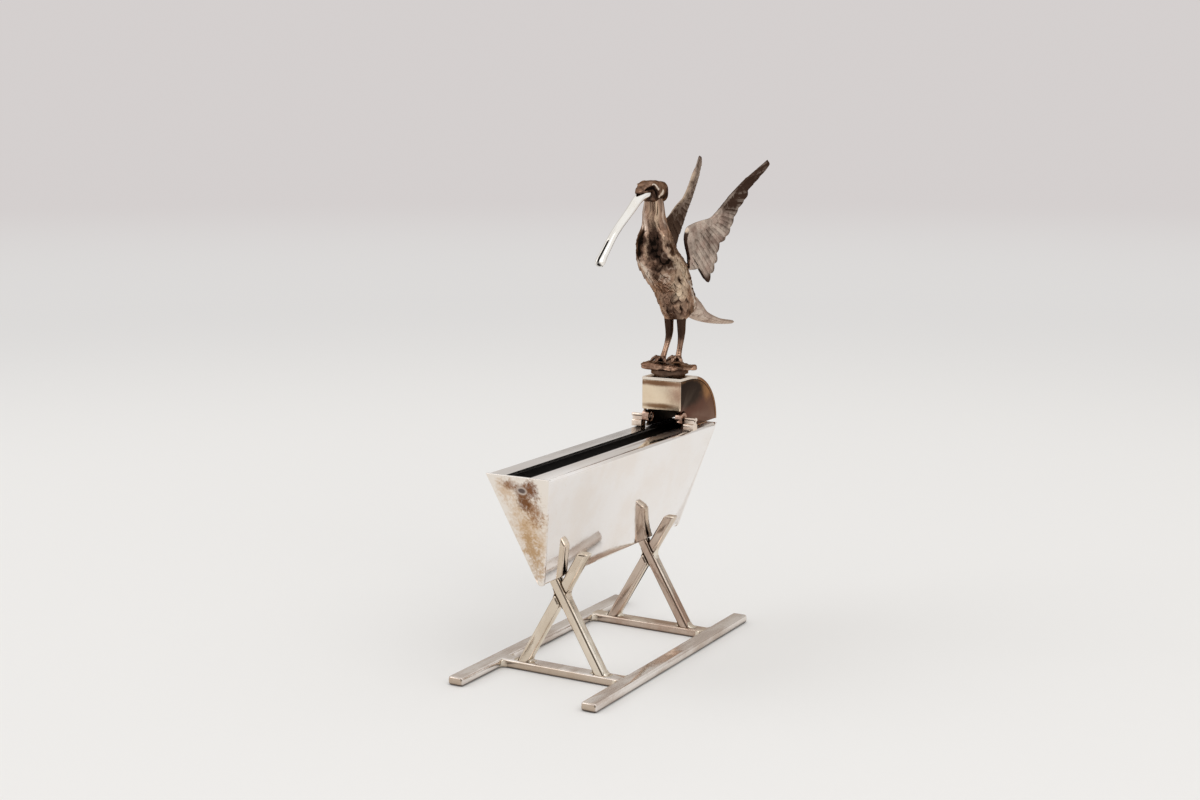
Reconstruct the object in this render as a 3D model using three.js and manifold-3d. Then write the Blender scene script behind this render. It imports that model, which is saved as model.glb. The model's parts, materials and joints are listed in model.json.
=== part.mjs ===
// A toothpick holder: a V-shaped trough on two X frames, with a bird on a hinged lid at one end.
// Millimetres, +Z up. X runs along the trough and the bird looks towards -X.
// Left and right are as seen from the front end, so left is +Y.

import * as THREE from 'three';
import { mergeVertices } from 'three/addons/utils/BufferGeometryUtils.js';
import Module from 'manifold-3d';

const wasm = await Module();
wasm.setup();

// The trough: one folded sheet, sized for toothpicks 65 to 68 long that lie along it
const troughLength = 85.9;
const troughCentreX = 0.75;
const troughWidth = 17.4;
const troughDepth = 28.3;
const frontLean = 10.1;
const rearLean = 7.4;
const sheet = 0.8;
const slotWidth = 6.7;
const keelRadius = 1;
const rimRadius = 0.9;
const plateOverhang = 0.2;

// The stand: flat bar stock, and how high it carries the trough
const rimHeight = 53.4;
const barWidth = 4.2;
const barThickness = 2.2;
const stripWidth = 3.1;
const stripThickness = 2.7;
const runnerLength = 82.6;
const runnerCentreX = -1.3;
const runnerEndRadius = 0.7;
const standWidth = 41.2;
const frameSpacing = 45.2;
const frameCentreX = -0.3;
const stripAngle = THREE.MathUtils.degToRad(59.8);
const armHeight = 6.6;

// The hinge across the trough
const hingeX = 30;
const hingeLift = 2.9;
const hingeSpan = 19.4;
const knuckleRadius = 1.6;
const pinRadius = 0.5;
const pinClearance = 0.07;
const bracketLength = 3.4;
const bracketFootWidth = 2.6;
const bracketFootLength = 2.9;
const bracketFootHeight = 1.75;
const bracketNeckWidth = 1.5;
const lidKnuckleLength = 2;

// The lid: flat front, short flat top, quarter-round back
const lidSideGap = 0.65;
const lidWidth = hingeSpan - 2 * (bracketLength + lidSideGap);
const lidHeight = 13.7;
const lidLength = 22.4;
const lidFrontSetback = 2;
const lidFlatLength = 6;
const lidFrontGap = 2.1;

// The bird's perch
const discRadius = 5;
const discThickness = 1.9;
const discFootRadius = 4.2;
const discFootHeight = 0.7;
const discSetback = 3;
const rockLength = 12.6;
const rockWidth = 16;
const rockHeight = 1.9;
const studRadius = 0.8;
const studLength = 5;
const nutRadius = 2;
const nutThickness = 1.8;

// The bird
const legLength = 11.2;
const legSpread = 3.7;
const legRadius = 1.3;
const legReach = 4.2;
const bodyHeight = 31;
const bodyLength = 18.6;
const bodyWidth = 10.4;
const bodySetback = 6;
const headLength = 13.4;
const headHeight = 5.9;
const headWidth = 5;
const beakReach = 25.1;
const beakDrop = 15;
const beakWidth = 2.1;
const beakHeight = 2;
const beakSlit = 0.6;
const wingLength = 35.4;
const wingHeight = 32;
const wingThickness = 0.9;
const wingRootSpacing = 7.6;
const wingFlareRight = THREE.MathUtils.degToRad(14);
const wingFlareLeft = THREE.MathUtils.degToRad(8);
const tailLength = 30;
const tailRise = 3.9;

// Gaps: a soldered seam, a seat of one piece on another, and one overrun that serves every cut
const seam = 0.1;
const seat = 0.3;
const overrun = 1;

// Facet counts
const arcSteps = 5;
const cornerSteps = 3;
const roundSides = 24;
const ringSides = 20;
const smallRingSides = 12;
const nutSides = 6;

const silver = (colour, roughness) => () => (
  new THREE.MeshStandardMaterial({ color: colour, roughness, metalness: 1 })
);
const troughSilver = silver(0xe6dfd4, 0.16);
const barSilver = silver(0xd2c7b6, 0.26);
const lidSilver = silver(0xb59472, 0.3);
const hingeSilver = silver(0xd8c4ae, 0.28);
const birdSilver = silver(0x8d7561, 0.42);
const wingSilver = silver(0x9c8b7b, 0.4);
const beakSilver = silver(0xf0ead9, 0.15);

const holder = new THREE.Group();
const lid = new THREE.Group();
holder.add(lid);

function addPiece(name, geometry, material, parent = holder) {
  const mesh = new THREE.Mesh(geometry, material());
  mesh.name = name;
  parent.add(mesh);
  return mesh;
}

// Extrusions of an outline, given as [first, second] pairs in the plane across the named axis
function extrude(points, length) {
  const shape = new THREE.Shape(points.map(([a, b]) => new THREE.Vector2(a, b)));
  return new THREE.ExtrudeGeometry(shape, { depth: length, bevelEnabled: false, steps: 1 });
}

function extrudeX(points, lowX, highX) {
  const turn = new THREE.Matrix4().makeBasis(
    new THREE.Vector3(0, 1, 0),
    new THREE.Vector3(0, 0, 1),
    new THREE.Vector3(1, 0, 0),
  );
  return extrude(points, highX - lowX).applyMatrix4(turn).translate(lowX, 0, 0);
}

function extrudeY(points, lowY, highY) {
  return extrude(points, highY - lowY).rotateX(Math.PI / 2).translate(0, highY, 0);
}

function extrudeZ(points, lowZ, highZ) {
  return extrude(points, highZ - lowZ).translate(0, 0, lowZ);
}

function arc([centreA, centreB], radius, fromAngle, toAngle, steps = arcSteps) {
  return Array.from({ length: steps + 1 }, (unused, step) => {
    const angle = fromAngle + (toAngle - fromAngle) * step / steps;
    return [centreA + radius * Math.cos(angle), centreB + radius * Math.sin(angle)];
  });
}

function circle(centre, radius, sides = roundSides) {
  return arc(centre, radius, 0, 2 * Math.PI * (sides - 1) / sides, sides - 1);
}

function box(lowX, highX, lowY, highY, lowZ, highZ) {
  return extrudeZ([[lowX, lowY], [highX, lowY], [highX, highY], [lowX, highY]], lowZ, highZ);
}

// Solid cuts and joins
function toSolid(geometry) {
  const bare = geometry.clone();
  bare.deleteAttribute('normal');
  bare.deleteAttribute('uv');
  const merged = mergeVertices(bare);
  return new wasm.Manifold(new wasm.Mesh({
    numProp: 3,
    vertProperties: new Float32Array(merged.attributes.position.array),
    triVerts: new Uint32Array(merged.index.array),
  }));
}

function toGeometry(solid) {
  const { vertProperties, triVerts, numProp } = solid.getMesh();
  const geometry = new THREE.BufferGeometry();
  const positions = new Float32Array(vertProperties.length / numProp * 3);
  for (let vertex = 0; vertex < positions.length / 3; vertex += 1) {
    positions.set(vertProperties.subarray(vertex * numProp, vertex * numProp + 3), vertex * 3);
  }
  geometry.setAttribute('position', new THREE.BufferAttribute(positions, 3));
  geometry.setIndex(new THREE.BufferAttribute(new Uint32Array(triVerts), 1));
  const flat = geometry.toNonIndexed();
  flat.computeVertexNormals();
  return flat;
}

function cut(geometry, ...tools) {
  return toGeometry(tools.reduce((solid, tool) => solid.subtract(toSolid(tool)), toSolid(geometry)));
}

function join(...geometries) {
  return toGeometry(geometries.map(toSolid).reduce((solid, other) => solid.add(other)));
}

// A closed skin over rings of points, each ring with the same count, capped at both ends.
// Rings run counter-clockwise when seen from the end that they lead to.
function loft(rings) {
  const count = rings[0].length;
  const middle = (ring) => ring.reduce((sum, point) => sum.add(point), new THREE.Vector3())
    .divideScalar(count);
  const points = [...rings.flat(), middle(rings[0]), middle(rings.at(-1))];
  const index = [];
  for (let level = 0; level < rings.length - 1; level += 1) {
    for (let side = 0; side < count; side += 1) {
      const next = (side + 1) % count;
      const [a, b] = [level * count + side, level * count + next];
      index.push(a, b, b + count, a, b + count, a + count);
    }
  }
  const last = (rings.length - 1) * count;
  for (let side = 0; side < count; side += 1) {
    const next = (side + 1) % count;
    index.push(rings.length * count, next, side);
    index.push(rings.length * count + 1, last + side, last + next);
  }
  const geometry = new THREE.BufferGeometry().setFromPoints(points);
  geometry.setIndex(index);
  geometry.computeVertexNormals();
  return geometry;
}

// The trough's section: walls leaning by wallAngle, tangent to the round keel, rims folded inwards
const halfTop = troughWidth / 2;
const keelZ = rimHeight - troughDepth;
const keelCentre = [0, keelZ + keelRadius];
const cornerDistance = Math.hypot(halfTop, troughDepth - keelRadius);
const wallAngle = Math.atan2(halfTop, troughDepth - keelRadius) - Math.asin(keelRadius / cornerDistance);
const rimCentre = [
  halfTop - rimRadius * (1 + Math.sin(wallAngle)) / Math.cos(wallAngle),
  rimHeight - rimRadius,
];
const mirrored = (points) => points.map(([a, b]) => [-a, b]);

// Half of the section's outline, moved in from the outer face by inset
function halfSection(inset) {
  const keel = arc(keelCentre, keelRadius - inset, -Math.PI / 2, -wallAngle);
  const rim = arc(rimCentre, rimRadius - inset, -wallAngle, Math.PI / 2);
  return [...keel, ...rim];
}

// Slants the two ends of a length-1 extrusion: at height z it runs between the two given lines
function slantEnds(geometry, lowTopX, highTopX, lowLean, highLean) {
  const position = geometry.attributes.position;
  for (let index = 0; index < position.count; index += 1) {
    const below = (rimHeight - position.getZ(index)) / troughDepth;
    const low = lowTopX + lowLean * below;
    const high = highTopX - highLean * below;
    position.setX(index, low + (high - low) * position.getX(index));
  }
  geometry.computeVertexNormals();
  return geometry;
}

const troughFrontX = troughCentreX - troughLength / 2;
const troughRearX = troughCentreX + troughLength / 2;

function addTrough() {
  const slotEdge = slotWidth / 2;
  const outer = [...halfSection(0), [slotEdge, rimHeight]];
  const inner = [...halfSection(sheet), [slotEdge, rimHeight - sheet]];
  const outline = [
    ...outer,
    ...inner.toReversed(),
    ...mirrored(inner).slice(1),
    ...mirrored(outer).toReversed().slice(0, -1),
  ];
  const troughSheet = slantEnds(extrudeX(outline, 0, 1), troughFrontX, troughRearX, frontLean, rearLean);
  addPiece('trough_sheet', troughSheet, troughSilver);

  const half = [...arc(keelCentre, keelRadius + plateOverhang, -Math.PI / 2, -wallAngle),
    [halfTop + plateOverhang / Math.cos(wallAngle), rimHeight]];
  const plateOutline = [...half, ...mirrored(half).toReversed().slice(0, -1)];
  const frontX = sheet * Math.hypot(1, frontLean / troughDepth);
  const rearX = sheet * Math.hypot(1, rearLean / troughDepth);
  const frontPlate = slantEnds(
    extrudeX(plateOutline, 0, 1),
    troughFrontX - seam - frontX, troughFrontX - seam, frontLean, -frontLean,
  );
  const rearPlate = slantEnds(
    extrudeX(plateOutline, 0, 1),
    troughRearX + seam, troughRearX + seam + rearX, -rearLean, rearLean,
  );
  addPiece('end_plate_front', frontPlate, troughSilver);
  addPiece('end_plate_rear', rearPlate, troughSilver);
}

function addRunnersAndCrossbars() {
  const [lowX, highX] = [runnerCentreX - runnerLength / 2, runnerCentreX + runnerLength / 2];
  const outerY = standWidth / 2;
  const innerY = outerY - barWidth;
  for (const [name, side] of [['left', 1], ['right', -1]]) {
    const middleY = side * (outerY + innerY) / 2;
    const [lowY, highY] = [middleY - barWidth / 2, middleY + barWidth / 2];
    const radius = runnerEndRadius;
    const outline = [
      ...arc([highX - radius, lowY + radius], radius, -Math.PI / 2, 0, cornerSteps),
      ...arc([highX - radius, highY - radius], radius, 0, Math.PI / 2, cornerSteps),
      ...arc([lowX + radius, highY - radius], radius, Math.PI / 2, Math.PI, cornerSteps),
      ...arc([lowX + radius, lowY + radius], radius, Math.PI, 1.5 * Math.PI, cornerSteps),
    ];
    addPiece(`runner_${name}`, extrudeZ(outline, 0, barThickness), barSilver);
  }
  for (const [name, side] of [['front', -1], ['rear', 1]]) {
    const x = frameCentreX + side * frameSpacing / 2;
    const bar = box(x - barWidth / 2, x + barWidth / 2, -innerY, innerY, 0, barThickness);
    addPiece(`crossbar_${name}`, bar, barSilver);
  }
}

// The height where the strips' middle lines cross, so that the round keel sits in their upper notch
const notchZ = keelZ + keelRadius - (keelRadius + seat) / Math.cos(stripAngle);
const crossingZ = notchZ - stripThickness / 2 / Math.cos(stripAngle);
const armTopZ = keelZ + armHeight;

// A strip's outline across the stand, rising towards the given side, thicker by grow on each face
function stripOutline(side, grow) {
  const half = (stripThickness / 2 + grow) / Math.sin(stripAngle);
  const slope = 1 / Math.tan(stripAngle);
  const at = (z) => side * (z - crossingZ) * slope;
  const [lowZ, highZ] = [barThickness, armTopZ];
  return [
    [at(lowZ) - half, lowZ],
    [at(lowZ) + half, lowZ],
    [at(highZ) + half, highZ],
    [at(highZ) - half, highZ],
  ];
}

// Two strips lapped into each other where they cross, the first one in front
function addFrames() {
  for (const [name, direction] of [['front', -1], ['rear', 1]]) {
    const x = frameCentreX + direction * frameSpacing / 2;
    const [lowX, highX] = [x - stripWidth / 2, x + stripWidth / 2];
    const stripA = cut(
      extrudeX(stripOutline(1, 0), lowX, highX),
      extrudeX(stripOutline(-1, seam), x - seam / 2, highX + overrun),
    );
    const stripB = cut(
      extrudeX(stripOutline(-1, 0), lowX, highX),
      extrudeX(stripOutline(1, seam), lowX - overrun, x + seam / 2),
    );
    addPiece(`${name}_frame_strip_a`, stripA, barSilver);
    addPiece(`${name}_frame_strip_b`, stripB, barSilver);
  }
}

const hingeZ = rimHeight + hingeLift;
const hingePoint = [hingeX, hingeZ];
const boreRadius = pinRadius + pinClearance;
const lidHalf = lidWidth / 2;

function addHinge() {
  const outerY = hingeSpan / 2;
  const innerY = outerY - bracketLength;
  const knuckleOuterY = innerY - seat;
  const knuckleInnerY = knuckleOuterY - lidKnuckleLength;
  const footHalf = bracketFootWidth / 2;
  const neckHalf = bracketNeckWidth / 2;
  const shoulderZ = rimHeight + bracketFootHeight;
  const roundZ = shoulderZ - (footHalf - neckHalf);
  const neckTopZ = hingeZ - pinRadius / 2;
  // A rounded foot, and a narrow neck that cradles the pin
  const bracketOutline = [
    [hingeX + footHalf, rimHeight],
    ...arc([hingeX + neckHalf, roundZ], footHalf - neckHalf, 0, Math.PI / 2),
    [hingeX + neckHalf, neckTopZ],
    [hingeX - neckHalf, neckTopZ],
    ...arc([hingeX - neckHalf, roundZ], footHalf - neckHalf, Math.PI / 2, Math.PI),
    [hingeX - footHalf, rimHeight],
  ];
  const sides = [['left', 1], ['right', -1]];
  for (const [name, side] of sides) {
    const span = (near, far) => (side > 0 ? [near, far] : [-far, -near]);
    const cradle = extrudeY(circle(hingePoint, pinRadius + seam), -outerY - overrun, outerY + overrun);
    const bracket = cut(extrudeY(bracketOutline, ...span(innerY, innerY + bracketFootLength)), cradle);
    addPiece(`hinge_bracket_${name}`, bracket, hingeSilver);
    const bore = extrudeY(circle(hingePoint, boreRadius), -outerY - overrun, outerY + overrun);
    const knuckle = cut(
      extrudeY(circle(hingePoint, knuckleRadius), ...span(knuckleInnerY, knuckleOuterY)),
      bore,
    );
    addPiece(`lid_knuckle_${name}`, knuckle, hingeSilver, lid);
    const pin = extrudeY(circle(hingePoint, pinRadius), ...span(knuckleInnerY, outerY));
    addPiece(`hinge_pin_${name}`, pin, hingeSilver);
  }
}

const lidFrontX = hingeX - lidFrontSetback;
const lidTopZ = rimHeight + lidHeight;
const lidBottomZ = rimHeight + seat;
const lidRoundX = lidFrontX + lidFlatLength;

// The lid's round back, from its top down: a quarter of an oval, moved in from the outer face by inset
function lidRound(inset) {
  const steps = 3 * arcSteps;
  const halfLength = lidLength - lidFlatLength - inset;
  const halfHeight = lidTopZ - lidBottomZ - inset;
  return Array.from({ length: steps + 1 }, (unused, step) => {
    const angle = Math.PI / 2 * step / steps;
    return [lidRoundX + halfLength * Math.sin(angle), lidBottomZ + halfHeight * Math.cos(angle)];
  });
}

function addLid() {
  const backOutline = [
    [lidFrontX, lidTopZ - sheet],
    ...lidRound(sheet),
    ...lidRound(0).toReversed(),
    [lidFrontX, lidTopZ],
  ];
  const studHole = extrudeZ(
    circle([discX, 0], studRadius + seam),
    lidTopZ - sheet - overrun,
    lidTopZ + overrun,
  );
  addPiece('lid_back_sheet', cut(extrudeY(backOutline, -lidHalf, lidHalf), studHole), lidSilver, lid);

  const plateBottomZ = hingeZ + lidFrontGap;
  const plate = box(lidFrontX, lidFrontX + sheet, -lidHalf, lidHalf, plateBottomZ, lidTopZ - sheet);
  addPiece('lid_front_plate', plate, lidSilver, lid);

  const notchRadius = knuckleRadius + seat;
  const cheekFrontX = lidFrontX + sheet;
  const inner = sheet + seam;
  const startAngle = Math.acos((cheekFrontX - hingeX) / notchRadius);
  const cheekOutline = [
    [cheekFrontX, lidTopZ - sheet],
    ...arc(hingePoint, notchRadius, startAngle, 0, 2 * arcSteps),
    [hingeX + notchRadius, lidBottomZ],
    ...lidRound(inner).toReversed(),
  ];
  for (const [name, low, high] of [['left', lidHalf - sheet, lidHalf], ['right', -lidHalf, sheet - lidHalf]]) {
    addPiece(`lid_cheek_${name}`, extrudeY(cheekOutline, low, high), lidSilver, lid);
  }
}

const discX = hingeX + discSetback;
const discTopZ = lidTopZ + discThickness;
const rockTopZ = discTopZ + rockHeight;

function addPerch() {
  const discFootZ = lidTopZ + discFootHeight;
  const disc = join(
    extrudeZ(circle([discX, 0], discFootRadius, 2 * roundSides), lidTopZ, discFootZ),
    extrudeZ(circle([discX, 0], discRadius, 2 * roundSides), discFootZ, discTopZ),
  );
  const hole = extrudeZ(circle([discX, 0], studRadius + seam), lidTopZ - overrun, discTopZ + overrun);
  addPiece('perch_disc', cut(disc, hole), birdSilver, lid);
  const stud = extrudeZ(circle([discX, 0], studRadius), discTopZ - studLength, discTopZ);
  addPiece('fixing_stud', stud, hingeSilver, lid);
  const nutTopZ = lidTopZ - sheet - seat;
  const nut = cut(
    extrudeZ(circle([discX, 0], nutRadius, nutSides), nutTopZ - nutThickness, nutTopZ),
    extrudeZ(circle([discX, 0], studRadius + seam), nutTopZ - nutThickness - overrun, nutTopZ + overrun),
  );
  addPiece('fixing_nut', nut, hingeSilver, lid);
}

// A ring of points round a middle point, with its two half sizes along two square directions
function ring(middle, across, up, halfAcross, halfUp, sides = ringSides) {
  return Array.from({ length: sides }, (unused, side) => {
    const angle = 2 * Math.PI * side / sides;
    return middle.clone()
      .addScaledVector(across, halfAcross * Math.cos(angle))
      .addScaledVector(up, halfUp * Math.sin(angle));
  });
}

const alongX = new THREE.Vector3(1, 0, 0);
const alongY = new THREE.Vector3(0, 1, 0);
const alongZ = new THREE.Vector3(0, 0, 1);

// Height, and size of the outline there, of the rocky foot plate
const rockShares = [[0, 0.93], [0.4, 1], [0.8, 0.88], [1, 0.7]];
const rockWobbleShare = 0.07;
const rockLobes = 5;

function addRock() {
  const rings = rockShares.map(([heightShare, sizeShare]) => {
    const z = discTopZ + rockHeight * heightShare;
    const flat = ring(new THREE.Vector3(), alongX, alongY, rockLength / 2, rockWidth / 2, roundSides);
    return flat.map((point) => {
      const wobble = 1 + rockWobbleShare * Math.sin(rockLobes * Math.atan2(point.y, point.x));
      return point.multiplyScalar(sizeShare * wobble).add(new THREE.Vector3(discX, 0, z));
    });
  });
  addPiece('rock_base', loft(rings), birdSilver, lid);
}

const legTopX = hingeX + bodySetback;
const bodyBottomZ = rockTopZ + legLength;

// Height, forward reach of the foot and thickness along a leg, from the foot up
const legShares = [[0, 1, 0.95], [0.12, 0.72, 0.72], [0.34, 0.26, 0.66], [0.56, -0.06, 0.96],
  [0.78, -0.02, 1], [1, 0, 1]];

// Each leg's side, and how far its foot reaches forward
const legSides = [['left', 1, 1], ['right', -1, 0.5]];

function addLegs() {
  for (const [name, side, reachShare] of legSides) {
    const rings = legShares.map(([heightShare, forwardShare, radiusShare]) => {
      const x = legTopX - legReach * forwardShare * reachShare;
      const middle = new THREE.Vector3(x, side * legSpread / 2, rockTopZ + legLength * heightShare);
      return ring(middle, alongX, alongY, legRadius * radiusShare, legRadius * radiusShare, smallRingSides);
    });
    addPiece(`leg_${name}`, loft(rings), birdSilver, lid);
  }
}

// Height, middle, half length and half width of the body's level sections, from thighs to neck
const bodyShares = [
  [0, 0, 0.14, 0.3],
  [0.084, 0.108, 0.366, 0.37],
  [0.155, 0.065, 0.387, 0.41],
  [0.248, -0.048, 0.37, 0.46],
  [0.342, -0.204, 0.45, 0.49],
  [0.432, -0.328, 0.5, 0.5],
  [0.523, -0.457, 0.46, 0.49],
  [0.613, -0.575, 0.35, 0.47],
  [0.697, -0.624, 0.3, 0.44],
  [0.755, -0.624, 0.24, 0.39],
  [0.823, -0.64, 0.19, 0.32],
  [0.906, -0.672, 0.158, 0.28],
  [1, -0.672, 0.158, 0.28],
];

function bodySkin(grow) {
  return loft(bodyShares.map(([heightShare, middleShare, lengthShare, widthShare]) => ring(
    new THREE.Vector3(legTopX + bodyLength * middleShare, 0, bodyBottomZ + bodyHeight * heightShare),
    alongX,
    alongY,
    bodyLength * lengthShare + grow,
    bodyWidth * widthShare + grow,
  )));
}

const neckX = legTopX + bodyLength * bodyShares.at(-1)[1];
const headZ = bodyBottomZ + bodyHeight + seat + headHeight / 2;

// Distance forward from the nape, lift of the middle, half height and half width of the head. The brow
// juts over the bill's root like a visor.
const visorShare = 0.56;
const headShares = [
  [0, 0, 0.26, 0.26],
  [0.06, 0, 0.44, 0.42],
  [0.25, 0, 0.5, 0.5],
  [0.45, 0, 0.5, 0.5],
  [0.53, 0.02, 0.46, 0.48],
  [visorShare, 0.2, 0.29, 0.46],
  [0.68, 0.15, 0.24, 0.4],
  [0.8, 0.09, 0.18, 0.32],
  [0.92, 0.02, 0.11, 0.2],
  [1, -0.03, 0.05, 0.06],
];
const napeShare = 0.29;
const headBackX = neckX + headLength * napeShare;

function addBodyAndHead() {
  addPiece('bird_body', bodySkin(0), birdSilver, lid);
  const rings = headShares.map(([forwardShare, liftShare, heightShare, widthShare]) => ring(
    new THREE.Vector3(headBackX - headLength * forwardShare, 0, headZ + headHeight * liftShare),
    alongY.clone().negate(),
    alongZ,
    headWidth * widthShare,
    headHeight * heightShare,
  ));
  addPiece('bird_head', loft(rings), birdSilver, lid);
}

// Reach and drop of the bill's middle line from its root. Its end is a fork that grips a toothpick.
const beakShares = [
  [0, 0], [0.215, 0.067], [0.402, 0.207], [0.566, 0.393], [0.753, 0.64], [0.912, 0.887], [1, 1],
];
const beakLiftShare = -0.28;
const beakSteps = 16;
const forkStartShare = 0.7;
const forkSteps = 6;

function addBeak() {
  const rootX = headBackX - headLength * visorShare - seat;
  const rootZ = headZ + headHeight * beakLiftShare;
  const line = new THREE.CatmullRomCurve3(beakShares.map(([reachShare, dropShare]) => (
    new THREE.Vector3(rootX - beakReach * reachShare, 0, rootZ - beakDrop * dropShare)
  )));
  const across = alongY.clone().negate();
  const up = (share) => new THREE.Vector3().crossVectors(line.getTangentAt(share), across);
  const shares = (count) => Array.from({ length: count + 1 }, (unused, step) => step / count);
  const skin = shares(beakSteps).map((share) => (
    ring(line.getPointAt(share), across, up(share), beakWidth / 2, beakHeight / 2, smallRingSides)
  ));
  const slit = shares(forkSteps).map((share) => {
    const along = forkStartShare + (1 - forkStartShare) * share;
    const middle = line.getPointAt(along);
    middle.addScaledVector(line.getTangentAt(along), share === 1 ? overrun : 0);
    const depth = beakHeight / 2 + overrun;
    return [[1, -1], [1, 1], [-1, 1], [-1, -1]].map(([side, level]) => middle.clone()
      .addScaledVector(across, side * beakSlit / 2)
      .addScaledVector(up(along), level * depth));
  });
  addPiece('bird_beak', cut(loft(skin), loft(slit)), beakSilver, lid);
}

// Distance back from the wing's root and height above its lowest feather, round the outline:
// the root and the lower feathers of both wings, then the rest of each
const wingRootShares = [
  [0.189, 0.53], [0.068, 0.506], [0.003, 0.459], [0.023, 0.338], [0.042, 0.241], [0.079, 0.1],
  [0.138, 0.125], [0.223, 0.119], [0.316, 0], [0.356, 0.053],
];
const rightWingShares = [
  ...wingRootShares,
  [0.398, 0.106], [0.432, 0.19], [0.46, 0.331], [0.525, 0.36], [0.576, 0.419], [0.593, 0.481],
  [0.661, 0.631], [0.754, 0.716], [0.777, 0.778], [0.893, 0.869], [1, 1], [0.825, 0.906],
  [0.664, 0.788], [0.46, 0.647], [0.319, 0.553],
];
const leftWingShares = [
  ...wingRootShares,
  [0.36, 0.13], [0.355, 0.25], [0.393, 0.356], [0.452, 0.413], [0.475, 0.45], [0.508, 0.522],
  [0.562, 0.594], [0.661, 0.641], [0.763, 0.713], [0.898, 0.809], [0.966, 0.909], [0.98, 1.047],
  [0.918, 0.975], [0.805, 0.856], [0.6, 0.744], [0.418, 0.65], [0.206, 0.575],
];
const wingSetbackShare = 0.16;
const wingLowShare = 0.294;
const wingRootX = legTopX - bodyLength * wingSetbackShare;
const wingLowZ = bodyBottomZ + bodyHeight * wingLowShare;

function addWings() {
  const body = bodySkin(seat);
  const wings = [
    ['left', 1, wingFlareLeft, leftWingShares],
    ['right', -1, -wingFlareRight, rightWingShares],
  ];
  for (const [name, side, flare, shares] of wings) {
    const outline = shares.map(([backShare, upShare]) => [wingLength * backShare, wingHeight * upShare]);
    const blade = extrudeY(outline, -wingThickness / 2, wingThickness / 2)
      .rotateZ(flare)
      .translate(wingRootX, side * wingRootSpacing / 2, wingLowZ);
    addPiece(`wing_${name}`, cut(blade, body), wingSilver, lid);
  }
}

// The tail's middle line back and down from its root, then its half width and half thickness
const tailShares = [
  [0, 0, 0.1, 0.12], [0.18, 0.073, 0.097, 0.092], [0.32, 0.147, 0.1, 0.05], [0.57, 0.217, 0.11, 0.028],
  [0.8, 0.253, 0.092, 0.018], [1, 0.273, 0.035, 0.01],
];
const tailRootShare = 0.27;

function addTail() {
  const root = new THREE.Vector3(legTopX + bodyLength * tailRootShare, 0, bodyBottomZ + tailRise);
  const middles = tailShares.map(([backShare, dropShare]) => (
    root.clone().add(new THREE.Vector3(tailLength * backShare, 0, -tailLength * dropShare))
  ));
  const rings = tailShares.map(([, , widthShare, thicknessShare], level) => {
    const before = middles[Math.max(level - 1, 0)];
    const after = middles[Math.min(level + 1, middles.length - 1)];
    const up = new THREE.Vector3().crossVectors(after.clone().sub(before).normalize(), alongY);
    return ring(
      middles[level], alongY, up, tailLength * widthShare, tailLength * thicknessShare, smallRingSides,
    );
  });
  addPiece('bird_tail', cut(loft(rings), bodySkin(seat)), wingSilver, lid);
}

addRunnersAndCrossbars();
addFrames();
addTrough();
addHinge();
addLid();
addPerch();
addRock();
addLegs();
addBodyAndHead();
addBeak();
addWings();
addTail();

// The origin is the middle of the whole thing's footprint, on the surface that it stands on
const bounds = new THREE.Box3().setFromObject(holder);
const middle = bounds.getCenter(new THREE.Vector3());
holder.position.set(-middle.x, 0, 0);

export default holder;
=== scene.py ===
# Looks of the toothpick holder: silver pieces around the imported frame, in metres

import json
import math

import bmesh
import bpy
import numpy as np
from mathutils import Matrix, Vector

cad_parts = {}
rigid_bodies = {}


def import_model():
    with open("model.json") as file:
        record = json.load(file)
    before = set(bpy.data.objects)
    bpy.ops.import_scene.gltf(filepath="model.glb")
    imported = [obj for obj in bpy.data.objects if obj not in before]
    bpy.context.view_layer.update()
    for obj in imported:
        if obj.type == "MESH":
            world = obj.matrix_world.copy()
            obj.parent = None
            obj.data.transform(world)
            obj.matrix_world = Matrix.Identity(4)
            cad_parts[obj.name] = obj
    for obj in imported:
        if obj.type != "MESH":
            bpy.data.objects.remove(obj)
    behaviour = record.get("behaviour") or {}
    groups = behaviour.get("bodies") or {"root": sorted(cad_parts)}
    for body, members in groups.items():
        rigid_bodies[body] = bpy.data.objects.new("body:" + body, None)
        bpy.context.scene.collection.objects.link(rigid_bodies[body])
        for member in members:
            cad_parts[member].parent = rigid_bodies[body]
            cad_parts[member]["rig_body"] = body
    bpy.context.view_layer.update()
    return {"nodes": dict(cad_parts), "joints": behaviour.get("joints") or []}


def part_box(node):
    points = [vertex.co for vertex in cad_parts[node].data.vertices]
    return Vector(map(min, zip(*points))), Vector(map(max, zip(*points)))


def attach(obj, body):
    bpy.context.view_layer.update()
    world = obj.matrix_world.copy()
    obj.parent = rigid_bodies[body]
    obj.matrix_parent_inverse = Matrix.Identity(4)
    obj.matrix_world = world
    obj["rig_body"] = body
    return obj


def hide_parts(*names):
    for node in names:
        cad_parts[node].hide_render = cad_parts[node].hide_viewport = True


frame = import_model()
mm = 0.001

hingePlace = np.array(frame["joints"][0]["pos_m"])
hingeX = hingePlace[0]
troughLow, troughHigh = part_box("trough_sheet")
lidLow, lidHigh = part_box("lid_back_sheet")
bodyLow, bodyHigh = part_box("bird_body")
headLow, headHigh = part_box("bird_head")
rockLow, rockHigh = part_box("rock_base")


def newObject(name, data):
    made = bpy.data.objects.new(name, data)
    bpy.context.scene.collection.objects.link(made)
    return made


# Camera at the photograph's place, worked out from the straight edges of the trough and the stand,
# measured from the middle of the hinge
cameraLook = dict(fromHinge=(-0.38881, -0.20179, 0.07623), tilt=80.7, heading=-60.33, lens=49.95,
                  sensor=36, nearest=0.01)


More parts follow.
